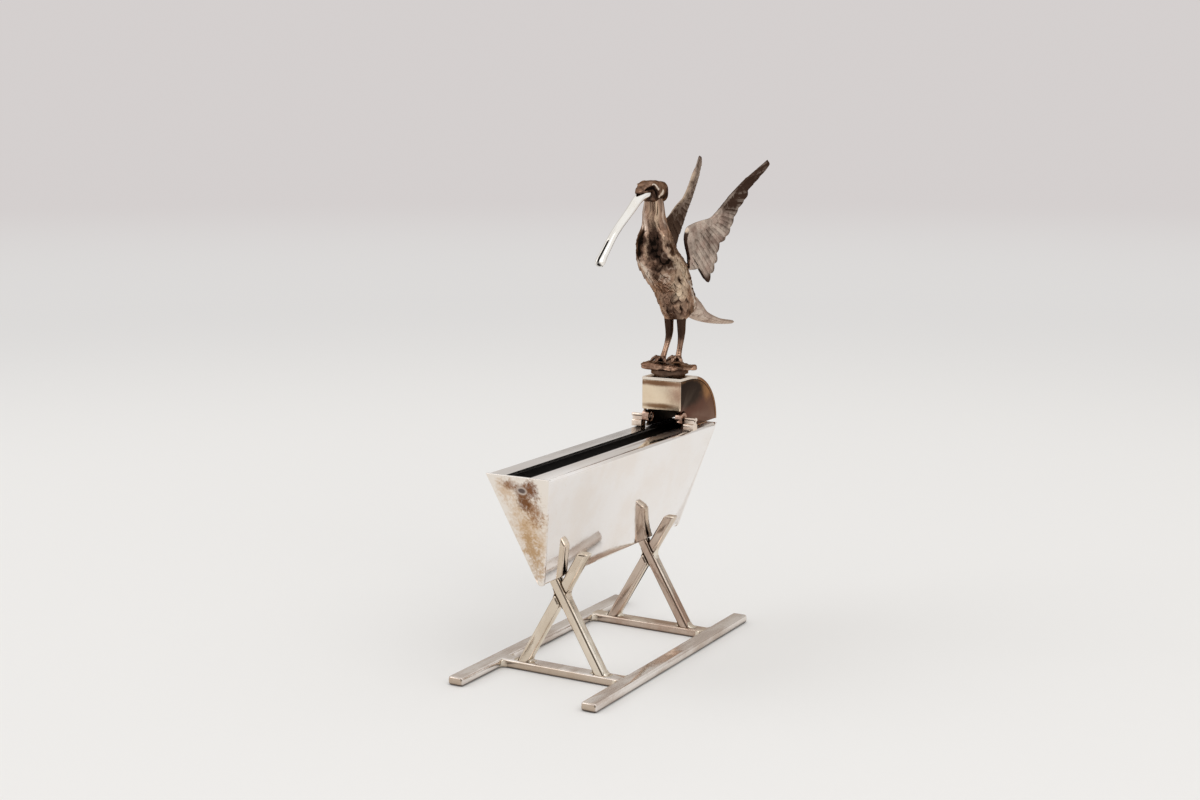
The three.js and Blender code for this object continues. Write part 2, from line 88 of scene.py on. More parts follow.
def addCamera():
    data = bpy.data.cameras.new("photoCamera")
    data.lens = cameraLook["lens"]
    data.sensor_width = cameraLook["sensor"]
    data.clip_start = cameraLook["nearest"]
    camera = newObject("photoCamera", data)
    camera.location = hingePlace + np.array(cameraLook["fromHinge"])
    camera.rotation_euler = (math.radians(cameraLook["tilt"]), 0, math.radians(cameraLook["heading"]))
    bpy.context.scene.camera = camera


# Short ways to add shader nodes: each gives back the node or the socket that comes out of it
def addNode(tree, kind, values=None, **settings):
    node = tree.nodes.new(kind)
    for setting, value in settings.items():
        setattr(node, setting, value)
    for socket, value in (values or {}).items():
        if isinstance(value, bpy.types.NodeSocket):
            tree.links.new(value, node.inputs[socket])
        else:
            node.inputs[socket].default_value = value
    return node


def mathNode(tree, operation, *values):
    return addNode(tree, "ShaderNodeMath", dict(enumerate(values)), operation=operation).outputs[0]


def times(tree, first, second):
    return mathNode(tree, "MULTIPLY", first, second)


def plus(tree, first, second):
    return mathNode(tree, "ADD", first, second)


def vectorNode(tree, operation, *vectors, output="Vector"):
    node = addNode(tree, "ShaderNodeVectorMath", dict(enumerate(vectors)), operation=operation)
    return node.outputs[output]


def dotNode(tree, vector, direction):
    return vectorNode(tree, "DOT_PRODUCT", vector, direction, output="Value")


def lengthNode(tree, vector):
    return vectorNode(tree, "LENGTH", vector, output="Value")


def mixColours(tree, share, low, high):
    low, high = (tone if isinstance(tone, bpy.types.NodeSocket) else (*tone, 1) for tone in (low, high))
    return addNode(tree, "ShaderNodeMix", {0: share, 6: low, 7: high}, data_type="RGBA").outputs[2]


def remap(tree, value, lowest, highest, toLow=0.0, toHigh=1.0):
    inputs = {0: value, 1: lowest, 2: highest, 3: toLow, 4: toHigh}
    return addNode(tree, "ShaderNodeMapRange", inputs, interpolation_type="SMOOTHSTEP").outputs[0]


def noiseNode(tree, coords, scale, detail, rough=0.55):
    values = {"Vector": coords, "Scale": scale, "Detail": detail, "Roughness": rough}
    return addNode(tree, "ShaderNodeTexNoise", values).outputs[0]


# Floor of white paper that fades into a paler grey wall, and a room with that wall behind the object and
# the dark place of the camera in front of it
stageLook = dict(
    halfWidth=8.0, floor=(0.84, 0.835, 0.825), floorRough=0.9, wall=(0.72, 0.705, 0.695),
    wallTop=(0.662, 0.628, 0.622), fadeStart=0.28, fadeEnd=0.88, farEnd=2.7, rise=(-0.2, -0.01),
    room=(0.91, 0.90, 0.89), roomStrength=0.97, dark=(0.10, 0.08, 0.065),
    darkPlace=(-0.857, -0.488, 0.16), darkRange=(0.80, 0.97), back=(0.60, 0.575, 0.55),
    backPlace=(0.869, 0.495, 0), backRange=(0.2, 0.62), backHeights=(0.35, 0.75),
)
lampLook = dict(
    key=dict(place=(-0.35, -0.75, 1.0), size=0.9, power=3.3, colour=(1.0, 0.985, 0.965)),
    fill=dict(place=(-0.5, 0.9, 0.8), size=0.8, power=2.1, colour=(0.98, 0.99, 1.0)),
)


def addStage():
    half = stageLook["halfWidth"]
    mesh = bpy.data.meshes.new("floor")
    mesh.from_pydata([(-half, -half, 0), (half, -half, 0), (half, half, 0), (-half, half, 0)],
                     [], [(0, 1, 2, 3)])
    floor = newObject("floor", mesh)
    mesh.materials.append(floorMaterial())
    bpy.context.scene.world = roomWorld()
    for name, lamp in lampLook.items():
        data = bpy.data.lights.new(name, "AREA")
        data.size, data.energy, data.color = lamp["size"], lamp["power"], lamp["colour"]
        light = newObject(name, data)
        light.location = lamp["place"]
        light.rotation_euler = (-light.location).to_track_quat("-Z", "Y").to_euler()
    bpy.context.scene.view_settings.view_transform = "Standard"
    print("stage ready")


def newMaterial(name):
    material = bpy.data.materials.new(name)
    material.use_nodes = True
    return material, material.node_tree, material.node_tree.nodes["Principled BSDF"]


def floorMaterial():
    material, tree, shader = newMaterial("paperFloor")
    shader.inputs["Base Color"].default_value = (*stageLook["floor"], 1)
    shader.inputs["Roughness"].default_value = stageLook["floorRough"]
    coords = addNode(tree, "ShaderNodeTexCoord").outputs["Object"]
    away = lengthNode(tree, coords)
    fade = remap(tree, away, stageLook["fadeStart"], stageLook["fadeEnd"])
    far = remap(tree, away, stageLook["fadeEnd"], stageLook["farEnd"])
    paper = mixColours(tree, far, stageLook["wall"], stageLook["wallTop"])
    wall = addNode(tree, "ShaderNodeEmission", {"Color": paper, "Strength": 1.0})
    mixed = addNode(tree, "ShaderNodeMixShader", {0: fade, 1: shader.outputs[0], 2: wall.outputs[0]})
    tree.links.new(mixed.outputs[0], tree.nodes["Material Output"].inputs["Surface"])
    return material


def roomWorld():
    # The metal sees the room, and the camera sees the wall
    world = bpy.data.worlds.new("room")
    world.use_nodes = True
    tree = world.node_tree
    coords = addNode(tree, "ShaderNodeTexCoord").outputs["Generated"]
    height = addNode(tree, "ShaderNodeSeparateXYZ", {0: coords}).outputs[2]
    darkness = remap(tree, dotNode(tree, coords, stageLook["darkPlace"]), *stageLook["darkRange"])
    behind = remap(tree, dotNode(tree, coords, stageLook["backPlace"]), *stageLook["backRange"])
    behind = times(tree, behind, remap(tree, height, *stageLook["backHeights"], 1.0, 0.0))
    room = mixColours(tree, behind, stageLook["room"], stageLook["back"])
    room = mixColours(tree, darkness, room, stageLook["dark"])
    lit = addNode(tree, "ShaderNodeBackground", {"Color": room, "Strength": stageLook["roomStrength"]})
    rise = remap(tree, height, *stageLook["rise"])
    wall = mixColours(tree, rise, stageLook["wall"], stageLook["wallTop"])
    seen = addNode(tree, "ShaderNodeBackground", {"Color": wall, "Strength": 1.0})
    camera = addNode(tree, "ShaderNodeLightPath").outputs["Is Camera Ray"]
    mixed = addNode(tree, "ShaderNodeMixShader", {0: camera, 1: lit.outputs[0], 2: seen.outputs[0]})
    tree.links.new(mixed.outputs[0], tree.nodes["World Output"].inputs["Surface"])
    return world


# Silver in its several states. A piece can carry painted values: dark (tarnish and painted shade), warm
# (a gold tone and painted highlights), pale (worn bright metal and painted highlights) and black and dull
# (black tarnish and painted shade). Faces that look along the trough get a warmer, darker tone of painted
# shade.
plainSilver = dict(patinaShare=0.7, roughRange=0.12, bump=0.2, facing=(1, 1, 1), facingShare=0.0,
                   edge=(1, 1, 1), drawn=(1, 1, 1))
silverLook = dict(
    trough=dict(base=(0.93, 0.90, 0.88), patina=(0.86, 0.77, 0.69), patinaShare=0.45, rough=0.045,
                roughRange=0.05, bump=0.05, patch=55, recess=(0.30, 0.22, 0.17), recessShare=0.0,
                facing=(0.84, 0.76, 0.66), facingShare=0.6),
    runner=dict(base=(0.85, 0.80, 0.76), patina=(0.52, 0.42, 0.35), rough=0.09, bump=0.18, patch=170,
                recess=(0.07, 0.045, 0.035), recessShare=0.85, facing=(0.50, 0.395, 0.30),
                facingShare=0.85, edge=(0.9, 0.86, 0.82), drawn=(0.3, 1, 1)),
    strip=dict(base=(0.88, 0.81, 0.71), patina=(0.52, 0.41, 0.30), rough=0.10, patch=190,
               recess=(0.16, 0.10, 0.07), recessShare=0.5, facing=(0.70, 0.60, 0.48), facingShare=0.6,
               edge=(0.85, 0.8, 0.72), drawn=(1, 0.6, 0.3)),
    rear=dict(base=(0.74, 0.655, 0.565), patina=(0.36, 0.22, 0.155), patinaShare=0.85, rough=0.11,
              patch=190, recess=(0.08, 0.045, 0.03), recessShare=0.8, facing=(0.44, 0.32, 0.25),
              facingShare=0.6, edge=(0.85, 0.78, 0.7), drawn=(0.8, 0.5, 0.3)),
    lid=dict(base=(0.84, 0.71, 0.56), patina=(0.66, 0.47, 0.32), patinaShare=0.5, rough=0.14,
             roughRange=0.10, bump=0.12, patch=110, recess=(0.06, 0.035, 0.025), recessShare=0.9,
             facing=(0.78, 0.64, 0.46), facingShare=0.6, edge=(0.8, 0.72, 0.66)),
    roof=dict(base=(0.80, 0.73, 0.65), patina=(0.55, 0.40, 0.28), patinaShare=0.4, rough=0.14,
              roughRange=0.10, bump=0.12, patch=110, recess=(0.06, 0.035, 0.025), recessShare=0.6,
              facing=(0.78, 0.70, 0.60), facingShare=0.6, edge=(0.8, 0.7, 0.6)),
    knuckle=dict(base=(0.50, 0.34, 0.27), patina=(0.22, 0.11, 0.075), rough=0.16, patch=300,
                 recess=(0.03, 0.016, 0.012), recessShare=0.95, facing=(0.5, 0.36, 0.28),
                 facingShare=0.3, edge=(0.7, 0.55, 0.45)),
    hinge=dict(base=(0.86, 0.76, 0.67), patina=(0.55, 0.40, 0.31), rough=0.16, patch=300,
               recess=(0.04, 0.028, 0.022), recessShare=0.95, facing=(0.8, 0.66, 0.54),
               facingShare=0.3, edge=(0.9, 0.8, 0.7)),
    bird=dict(base=(0.50, 0.32, 0.225), patina=(0.20, 0.105, 0.068), patinaShare=0.85, rough=0.20,
              roughRange=0.16, bump=0.6, patch=330, recess=(0.02, 0.012, 0.009), recessShare=0.9,
              edge=(0.6, 0.48, 0.4)),
    wing=dict(base=(0.64, 0.535, 0.45), patina=(0.40, 0.275, 0.225), patinaShare=0.8, rough=0.26,
              roughRange=0.14, bump=0.4, patch=190, recess=(0.05, 0.035, 0.03), recessShare=0.9,
              edge=(0.75, 0.65, 0.58)),
    beak=dict(base=(0.97, 0.95, 0.91), patina=(0.88, 0.82, 0.72), patinaShare=0.4, rough=0.06,
              roughRange=0.06, bump=0.05, patch=200, recess=(0.10, 0.07, 0.05), recessShare=0.8),
)
paintNames = ("tarnish", "gold", "pale", "soot")
paintTones = dict(gold=(0.72, 0.56, 0.40), tarnish=(0.055, 0.031, 0.022), pale=(0.80, 0.75, 0.67),
                  soot=(0.008, 0.006, 0.005))
blackTarnishAndShadeRough = 0.5
# Noises by scale, detail and roughness, then the ranges in which they and the other masks rise
metalNoise = dict(clouds=(5.0, 0.62), crumbs=(420.0, 6.0, 0.72), grains=(1500.0, 4.0, 0.7),
                  specks=(1700.0, 2.0), waves=(170.0, 2.0), grain=(2300.0, 3.0), scratches=(1.0, 2.0))
metalRange = dict(patches=(0.42, 0.66), specks=(0.60, 0.74), facing=(0.55, 0.95), recess=(0.35, 0.92))
metalLook = dict(speckShare=0.35, tarnishRough=0.18, recessReach=1.2 * mm, recessSamples=8,
                 scratchScale=(300.0, 4200.0, 4200.0), waveHeight=2.2, grainHeight=0.10,
                 bumpDistance=0.2 * mm)


def silverMaterial(name, kind, stains=()):
    look = {**plainSilver, **silverLook[kind]}
    material, tree, shader = newMaterial(name)
    shader.inputs["Metallic"].default_value = 1
    shader.inputs["Specular Tint"].default_value = (*look["edge"], 1)
    coords = addNode(tree, "ShaderNodeTexCoord").outputs["Object"]
    drawn = addNode(tree, "ShaderNodeMapping", {"Vector": coords, "Scale": look["drawn"]})
    clouds = noiseNode(tree, drawn.outputs[0], look["patch"], *metalNoise["clouds"])
    crumbs, grains, specks = (noiseNode(tree, coords, *metalNoise[key])
                              for key in ("crumbs", "grains", "specks"))
    patches = remap(tree, clouds, *metalRange["patches"])
    specks = remap(tree, specks, *metalRange["specks"])
    colour = mixColours(tree, times(tree, patches, look["patinaShare"]), look["base"], look["patina"])
    # Painted shade: faces that look along the trough take a warmer, darker tone
    normal = addNode(tree, "ShaderNodeTexCoord").outputs["Normal"]
    normal = addNode(tree, "ShaderNodeSeparateXYZ", {0: normal})
    alongTrough = mathNode(tree, "ABSOLUTE", normal.outputs[0])
    facing = remap(tree, alongTrough, *metalRange["facing"], 0.0, look["facingShare"])
    colour = mixColours(tree, facing, colour, look["facing"])
    colour = mixColours(tree, times(tree, specks, metalLook["speckShare"]), colour, look["patina"])
    paint = {key: addNode(tree, "ShaderNodeAttribute", attribute_name=key).outputs["Fac"]
             for key in paintNames}
    # Warm paint is a gold tone with painted highlights, and pale paint is worn bright metal with painted
    # highlights
    for key in ("gold", "pale"):
        colour = mixColours(tree, paint[key], colour, paintTones[key])
    # Black paint, which is black tarnish with painted shade, also makes the metal rougher
    dull = times(tree, paint["soot"], blackTarnishAndShadeRough)
    for mark in stains:
        marked = markShare(tree, coords, crumbs, grains, mark)
        colour = mixColours(tree, marked, colour, mark["tone"])
        if mark["dull"]:
            dull = plus(tree, dull, times(tree, marked, mark["dull"]))
    # Dark paint is tarnish together with painted shade, and black paint is black tarnish together with
    # painted shade
    for key in ("tarnish", "soot"):
        colour = mixColours(tree, paint[key], colour, paintTones[key])
    openness = addNode(tree, "ShaderNodeAmbientOcclusion", {"Distance": metalLook["recessReach"]},
                       samples=metalLook["recessSamples"]).outputs["AO"]
    recess = remap(tree, openness, *metalRange["recess"], look["recessShare"], 0.0)
    colour = mixColours(tree, recess, colour, look["recess"])
    tree.links.new(colour, shader.inputs["Base Color"])
    rough = plus(tree, times(tree, patches, look["roughRange"]), look["rough"])
    rough = plus(tree, rough, times(tree, paint["tarnish"], metalLook["tarnishRough"]))
    tree.links.new(plus(tree, rough, dull), shader.inputs["Roughness"])
    tree.links.new(scratchedNormal(tree, coords, look["bump"]), shader.inputs["Normal"])
    return material


def markShare(tree, coords, crumbs, grains, mark):
    # Its full share at the mark's middle, 0 outside its half sizes, with a ragged edge and fine grains
    offset = vectorNode(tree, "SUBTRACT", coords, mark["middle"])
    edge = lengthNode(tree, vectorNode(tree, "DIVIDE", offset, mark["half"]))
    for noise, strength in ((crumbs, mark["ragged"]), (grains, mark["fine"])):
        edge = plus(tree, edge, mathNode(tree, "MULTIPLY_ADD", noise, strength, -0.5 * strength))
    return remap(tree, edge, mark["soft"], 1.0, mark["share"], 0.0)


def scratchedNormal(tree, coords, strength):
    # Hand-worked metal: slow waves, a fine grain and thin scratches
    values = {"Vector": coords, "Scale": metalLook["scratchScale"]}
    stretched = addNode(tree, "ShaderNodeMapping", values).outputs[0]
    height = times(tree, noiseNode(tree, coords, *metalNoise["waves"]), metalLook["waveHeight"])
    for noise in (noiseNode(tree, coords, *metalNoise["grain"]),
                  noiseNode(tree, stretched, *metalNoise["scratches"])):
        height = plus(tree, height, times(tree, noise, metalLook["grainHeight"]))
    values = {"Height": height, "Strength": strength, "Distance": metalLook["bumpDistance"]}
    return addNode(tree, "ShaderNodeBump", values).outputs[0]


# Numbers and patterns, from smooth curves to feathers
def curveThrough(knots, values, at):
    # A smooth curve through the values at the knots: cubic pieces whose slopes come from the neighbours
    knots, values, at = (np.asarray(a, float) for a in (knots, values, at))
    slopes = np.gradient(values, knots, axis=0)
    first = np.clip(np.searchsorted(knots, at, side="right") - 1, 0, len(knots) - 2)
    step = knots[first + 1] - knots[first]
    f = np.clip((at - knots[first]) / step, 0, 1)
    if values.ndim > 1:
        f, step = f[..., None], step[..., None]
    pull = 2 * f**3 - 3 * f**2
    return ((pull + 1) * values[first] - pull * values[first + 1]
            + (f**3 - 2 * f**2 + f) * step * slopes[first]
            + (f**3 - f**2) * step * slopes[first + 1])


def readTable(table, at):
    # The other rows of a table, read smoothly at places along its first row
    knots, *rows = table.values()
    return [curveThrough(knots, row, at) for row in rows]


def alongPath(points, at):
    # Points of a smooth line through the given ones, at shares 0 to 1 of its length
    points = np.asarray(points, float)
    lengths = np.r_[0, np.cumsum(np.linalg.norm(np.diff(points, axis=0), axis=1))]
    return curveThrough(lengths / lengths[-1], points, at)


latticeSize = 24
lattice = np.random.default_rng(7).random((latticeSize,) * 3)


def cloud(points, size):
    # Soft noise from 0 to 1 with lumps of about that size: random values on a lattice, blended smoothly
    place = points / size + 11.3
    cell = np.floor(place).astype(int)
    f = place - cell
    f = f * f * (3 - 2 * f)
    total = 0
    for corner in range(8):
        bits = np.array([corner & 1, corner >> 1 & 1, corner >> 2 & 1])
        weight = np.prod(np.where(bits, f, 1 - f), axis=-1)
        index = (cell + bits) % latticeSize
        total = total + weight * lattice[index[..., 0], index[..., 1], index[..., 2]]
    return total


def bump(value, middle, half):
    # A smooth hill: 1 at the middle, falling away as a bell
    return np.exp(-((value - middle) / half) ** 2)


def lineHill(first, second, points, half, ring=0.0):
    # A smooth hill along a line through the points, or along a circle of that radius round a single point
    nearest = np.inf
    points = [np.array(point, float) for point in points]
    for start, end in zip(points, points[1:] or points):
        along = end - start
        length = max(along @ along, 1e-12)
        t = np.clip(((first - start[0]) * along[0] + (second - start[1]) * along[1]) / length, 0, 1)
        away = np.hypot(first - start[0] - t * along[0], second - start[1] - t * along[1])
        nearest = np.minimum(nearest, away)
    return bump(np.abs(nearest - ring), 0, half)


def ramp(value, low, high):
    # 0 up to low, 1 from high on, and a smooth step between them
    f = np.clip((value - low) / (high - low), 0, 1)
    return f * f * (3 - 2 * f)


def feathers(across, along, overlap=1.6, seed=3):
    # Overlapping rounded feathers, one per unit both ways: each rises towards its tip and lies over
    # the next row. Gives the relief, 0 in the valleys, and each feather's own chance number.
    chance = np.random.default_rng(seed).random((64, 64))
    relief = np.zeros(np.broadcast(across, along).shape)
    shade = np.zeros(relief.shape)
    settled = np.zeros(relief.shape, bool)
    for back in (1, 0):
        row = np.floor(along) - back
        shifted = across + 0.5 * (row % 2) + 0.12 * np.sin(row * 2.4)
        column = np.floor(shifted)
        luck = chance[row.astype(int) % 64, column.astype(int) % 64]
        a = shifted - column - 0.5
        b = (along - row) / (overlap * (0.88 + 0.24 * luck))
        inside = (b < 1 - 1.9 * a * a) & ~settled
        crown = 1 - 1.6 * a * a
        value = (0.30 + 0.70 * b) * crown - 0.16 * bump(a, 0, 0.05) * ramp(b, 0.1, 0.5)
        relief = np.where(inside, value * (0.85 + 0.3 * luck), relief)
        shade = np.where(inside, luck, shade)
        settled |= inside
    return relief, shade


# Making pieces
roundingLook = dict(merge=2e-6, flat=math.radians(1), sharp=math.radians(35))


def finishPiece(piece, material, node=None):
    # A piece rides on the body of the node that it replaces. The solder replaces none.
    piece.data.materials.clear()
    piece.data.materials.append(material)
    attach(piece, frame["nodes"][node]["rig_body"] if node else "stand")
    if node:
        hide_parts(node)


def ringAngles(count):
    return np.linspace(0, 2 * np.pi, count, endpoint=False)


def roundGrid(look):
    # Shares from 0 to 1 down the rows, and angles round the rings
    return np.linspace(0, 1, look["rows"])[:, None], ringAngles(look["around"])[None, :]


def grid(x, y, z):
    return np.stack(np.broadcast_arrays(x, y, z), -1)


def normalsOf(rings):
    # Outward directions on a grid of rings that close on themselves
    around = np.roll(rings, -1, axis=1) - np.roll(rings, 1, axis=1)
    along = np.gradient(rings, axis=0)
    normals = np.cross(around, along)
    return normals / np.maximum(np.linalg.norm(normals, axis=2, keepdims=True), 1e-12)


def pushOut(rings, push):
    return rings + normalsOf(rings) * push[..., None]


def directionsOf(spine):
    # Unit vectors along a line of points
    direction = np.gradient(spine, axis=0)
    return direction / np.linalg.norm(direction, axis=1, keepdims=True)


def ringsMesh(name, shells, **paint):
    # One mesh from shells of rings (rows, points round the ring, 3), each end closed on its middle. The
    # paint has a grid of values for each shell.
    vertices, faces, values = [], [], {key: [] for key in paintNames}
    start = 0
    for number, rings in enumerate(shells):
        rows, count = rings.shape[:2]
        vertices += [rings.reshape(-1, 3), rings[0].mean(0)[None], rings[-1].mean(0)[None]]
        level, side = np.meshgrid(np.arange(rows - 1), np.arange(count), indexing="ij")
        a = start + level * count + side
        b = start + level * count + (side + 1) % count
        faces += np.stack([a, b, b + count, a + count], -1).reshape(-1, 4).tolist()
        side = np.arange(count)
        nextSide = (side + 1) % count
        low, high, last = start + rows * count, start + rows * count + 1, start + (rows - 1) * count
        faces += np.stack([np.full(count, low), start + nextSide, start + side], -1).tolist()
        faces += np.stack([np.full(count, high), last + side, last + nextSide], -1).tolist()
        for key, layers in values.items():
            layer = np.broadcast_to(paint[key][number] if key in paint else 0.0, (rows, count))
            layers += [layer.reshape(-1), layer[:1].mean(1), layer[-1:].mean(1)]
        start += rows * count + 2
    mesh = bpy.data.meshes.new(name)
    mesh.from_pydata(np.concatenate(vertices).tolist(), [], faces)
    for key, layers in values.items():
        attribute = mesh.attributes.new(key, "FLOAT", "POINT")
        attribute.data.foreach_set("value", np.clip(np.concatenate(layers), 0, 1).astype(np.float32))
    mesh.polygons.foreach_set("use_smooth", np.ones(len(mesh.polygons), bool))
    return newObject(name, mesh)


silvers = {}


def addCast(name, node, kind, shells, **paint):
    # A cast piece of the bird, made of rings in place of its node
    finishPiece(ringsMesh(name, shells, **paint), silvers[kind], node)
    print(name, "ready")


def bevelledCopy(name, node, width, segments):
    # The frame's own solid with its triangles merged into faces and its edges rounded
    mesh = frame["nodes"][node].data.copy()
    shape = bmesh.new()
    shape.from_mesh(mesh)
    bmesh.ops.remove_doubles(shape, verts=shape.verts, dist=roundingLook["merge"])
    bmesh.ops.dissolve_limit(shape, angle_limit=roundingLook["flat"], verts=shape.verts,
                             edges=shape.edges)
    bmesh.ops.recalc_face_normals(shape, faces=shape.faces)
    shape.to_mesh(mesh)
    shape.free()
    mesh.polygons.foreach_set("use_smooth", np.ones(len(mesh.polygons), bool))
    piece = newObject(name, mesh)
    rounding = piece.modifiers.new("rounding", "BEVEL")
    rounding.width = width
    rounding.segments = segments
    rounding.limit_method = "ANGLE"
    rounding.angle_limit = roundingLook["sharp"]
    rounding.harden_normals = True
    return piece


def vertexPlaces(piece):
    places = np.zeros(3 * len(piece.data.vertices))
    piece.data.vertices.foreach_get("co", places)
    return places.reshape(-1, 3)


def paintVertices(piece, name, values):
    attribute = piece.data.attributes.new(name, "FLOAT", "POINT")
    attribute.data.foreach_set("value", np.asarray(values, np.float32))


# Stand, trough and lid: the frame's solids with rounded edges
edgeLook = dict(bar=0.62 * mm, strip=0.8 * mm, plate=0.22 * mm, trough=0.18 * mm, hinge=0.2 * mm,
                lid=0.2 * mm, roof=0.34 * mm, disc=0.2 * mm, segments=3, fineSegments=4)
plateLean = 0.36


def stainAndPaintedLight(middle, half, ragged, fine, soft, share, tone, dull=0.0):
    # Half sizes in millimetres, how ragged and grainy the edge is, the share of its size where that edge
    # starts, its strength, its colour, and how much rougher it makes the metal
    return dict(middle=middle, half=tuple(size * mm for size in half), ragged=ragged, fine=fine,
                soft=soft, share=share, tone=tone, dull=dull)


def plateStain(across, below, *rest):
    # On the leaning front plate, by its millimetres to the left of the middle and below the rim
    return stainAndPaintedLight((troughLow.x + plateLean * below * mm, across * mm, troughHigh.z - below * mm), *rest)


plateStains = (
    plateStain(-0.4, 13, (12, 7.5, 18), 1.8, 1.1, 0.0, 0.75, (0.60, 0.38, 0.19)),
    plateStain(4.0, 3.6, (9, 3.6, 4.0), 1.2, 1.2, 0.1, 0.65, (0.60, 0.38, 0.20)),
    plateStain(0.0, 19.5, (12, 3.0, 9.5), 2.0, 2.0, 0.1, 0.70, (0.46, 0.27, 0.11)),
    plateStain(-2.6, 8.2, (9, 3.4, 6.0), 1.2, 2.4, 0.0, 0.80, (0.30, 0.14, 0.055)),
    plateStain(2.6, 2.4, (9, 3.2, 1.9), 0.9, 1.3, 0.15, 0.85, (0.26, 0.115, 0.045)),
    plateStain(-3.0, 3.2, (9, 2.9, 3.2), 0.9, 1.3, 0.25, 0.95, (0.19, 0.07, 0.024)),
    plateStain(-0.5, 6.6, (9, 2.6, 3.0), 0.9, 1.3, 0.25, 0.95, (0.18, 0.07, 0.024)),
    plateStain(-0.5, 3.7, (9, 2.9, 2.5), 0.4, 0.5, 0.3, 0.94, (0.20, 0.085, 0.035)),
    plateStain(-0.5, 3.5, (9, 1.75, 1.25), 0.2, 0.15, 0.6, 0.95, (0.62, 0.53, 0.46)),
    plateStain(-0.5, 3.5, (9, 1.35, 0.85), 0.15, 0.1, 0.5, 0.9, (0.09, 0.06, 0.055)),
)
rimZ = troughHigh.z
troughStainsAndShade = (
    stainAndPaintedLight((hingeX + 13 * mm, -7.8 * mm, rimZ), (8, 1.7, 1), 0.3, 0.2, 0.4, 0.9, (0.86, 0.80, 0.74), 0.45),
    stainAndPaintedLight((hingeX - 8 * mm, -5.5 * mm, rimZ), (16, 3, 1), 0.4, 0.2, 0.4, 0.8, (0.55, 0.45, 0.40), 0.3),
    stainAndPaintedLight((hingeX - 14 * mm, -4.7 * mm, rimZ), (24, 1.2, 0.8), 0.6, 0.3, 0.2, 0.75, (0.35, 0.245, 0.19)),
    # Black and dull on the rims under the lid: black tarnish and painted shade
    stainAndPaintedLight((hingeX + 20 * mm, 1.2 * mm, rimZ), (27, 5.7, 1.3), 0.1, 0.0, 0.88, 1.0, paintTones["soot"],
          blackTarnishAndShadeRough),
    stainAndPaintedLight((hingeX - 22 * mm, 6.2 * mm, rimZ), (34, 3.6, 1.3), 0.8, 0.5, 0.2, 0.62, (0.24, 0.18, 0.135)),
    # Painted shade: thin dark lines along the folds of the rims
    *(stainAndPaintedLight((0, y, rimZ - 0.15 * mm), (52, 0.3, 0.35), 0.3, 0.1, 0.4, 0.7, (0.12, 0.09, 0.07))
      for y in (troughLow.y + 0.8 * mm, troughHigh.y - 0.8 * mm)),
)
frontX, backX, rightY, leftY, lowZ, topZ = lidLow.x, lidHigh.x, lidLow.y, lidHigh.y, lidLow.z, lidHigh.z
# Brown bands on the lid's front plate: its tarnish, with painted reflections of brown surroundings
plateBands = (
    stainAndPaintedLight((frontX, 0, topZ - 1.5 * mm), (1.2, 14, 1.15), 0.5, 0.3, 0.3, 0.95, (0.20, 0.095, 0.045)),
    stainAndPaintedLight((frontX, 0.4 * mm, topZ - 7.6 * mm), (1.2, 7.5, 1.0), 0.5, 0.3, 0.3, 0.92, (0.20, 0.10, 0.045)),
    stainAndPaintedLight((frontX, rightY, topZ - 4.3 * mm), (1.2, 5.6, 4.6), 0.5, 0.4, 0.1, 0.85, (0.42, 0.26, 0.18)),
)
# Dark and warm tones on the cheeks: their tarnish, with painted reflections of dark and brown
# surroundings
cheekStainsAndReflections = (
    stainAndPaintedLight((frontX + 10 * mm, leftY, topZ - 8.0 * mm), (26, 1.0, 20), 0.3, 0.0, 0.9, 0.55,
          (0.38, 0.24, 0.13)),
    stainAndPaintedLight((frontX + 7 * mm, leftY, lowZ + 4 * mm), (15, 1.0, 10), 0.7, 0.3, 0.2, 0.7, (0.17, 0.09, 0.06)),
    stainAndPaintedLight((frontX + 10 * mm, rightY, topZ - 8.0 * mm), (26, 1.0, 20), 0.3, 0.0, 0.9, 1.0,
          (0.38, 0.19, 0.08)),
    stainAndPaintedLight((frontX + 5.5 * mm, rightY, lowZ - 1 * mm), (14.4, 1.2, 12.7), 0.06, 0.0, 0.80, 1.0,
          (0.105, 0.043, 0.031)),
    stainAndPaintedLight((backX, rightY, lowZ + 1 * mm), (12, 1.2, 8.5), 0.3, 0.0, 0.6, 0.9, (0.12, 0.052, 0.036)),
    stainAndPaintedLight((frontX + 10 * mm, rightY, topZ - 11.5 * mm), (9, 1.0, 2.2), 0.6, 0.4, 0.2, 0.5,
          (0.20, 0.12, 0.09)),
    stainAndPaintedLight((frontX + 5 * mm, rightY, topZ - 4.3 * mm), (12.5, 1.0, 5.4), 0.4, 0.2, 0.5, 1.0,
          (0.021, 0.014, 0.012)),
)
# A dark brown tone on the roof: its tarnish, with a painted reflection of brown surroundings
roofStainsAndReflections = (
    stainAndPaintedLight((backX - 3 * mm, 0, topZ - 5 * mm), (14.5, 11, 14), 0.4, 0.3, 0.75, 1.0, (0.25, 0.125, 0.065)),
)
lidLook = dict(skin=0.4 * mm, rim=0.2 * mm, flat=6 * mm, oval=0.98, low=0.1 * mm, drop=0.27 * mm,
               corner=2.0 * mm, cornerReach=2.2 * mm)


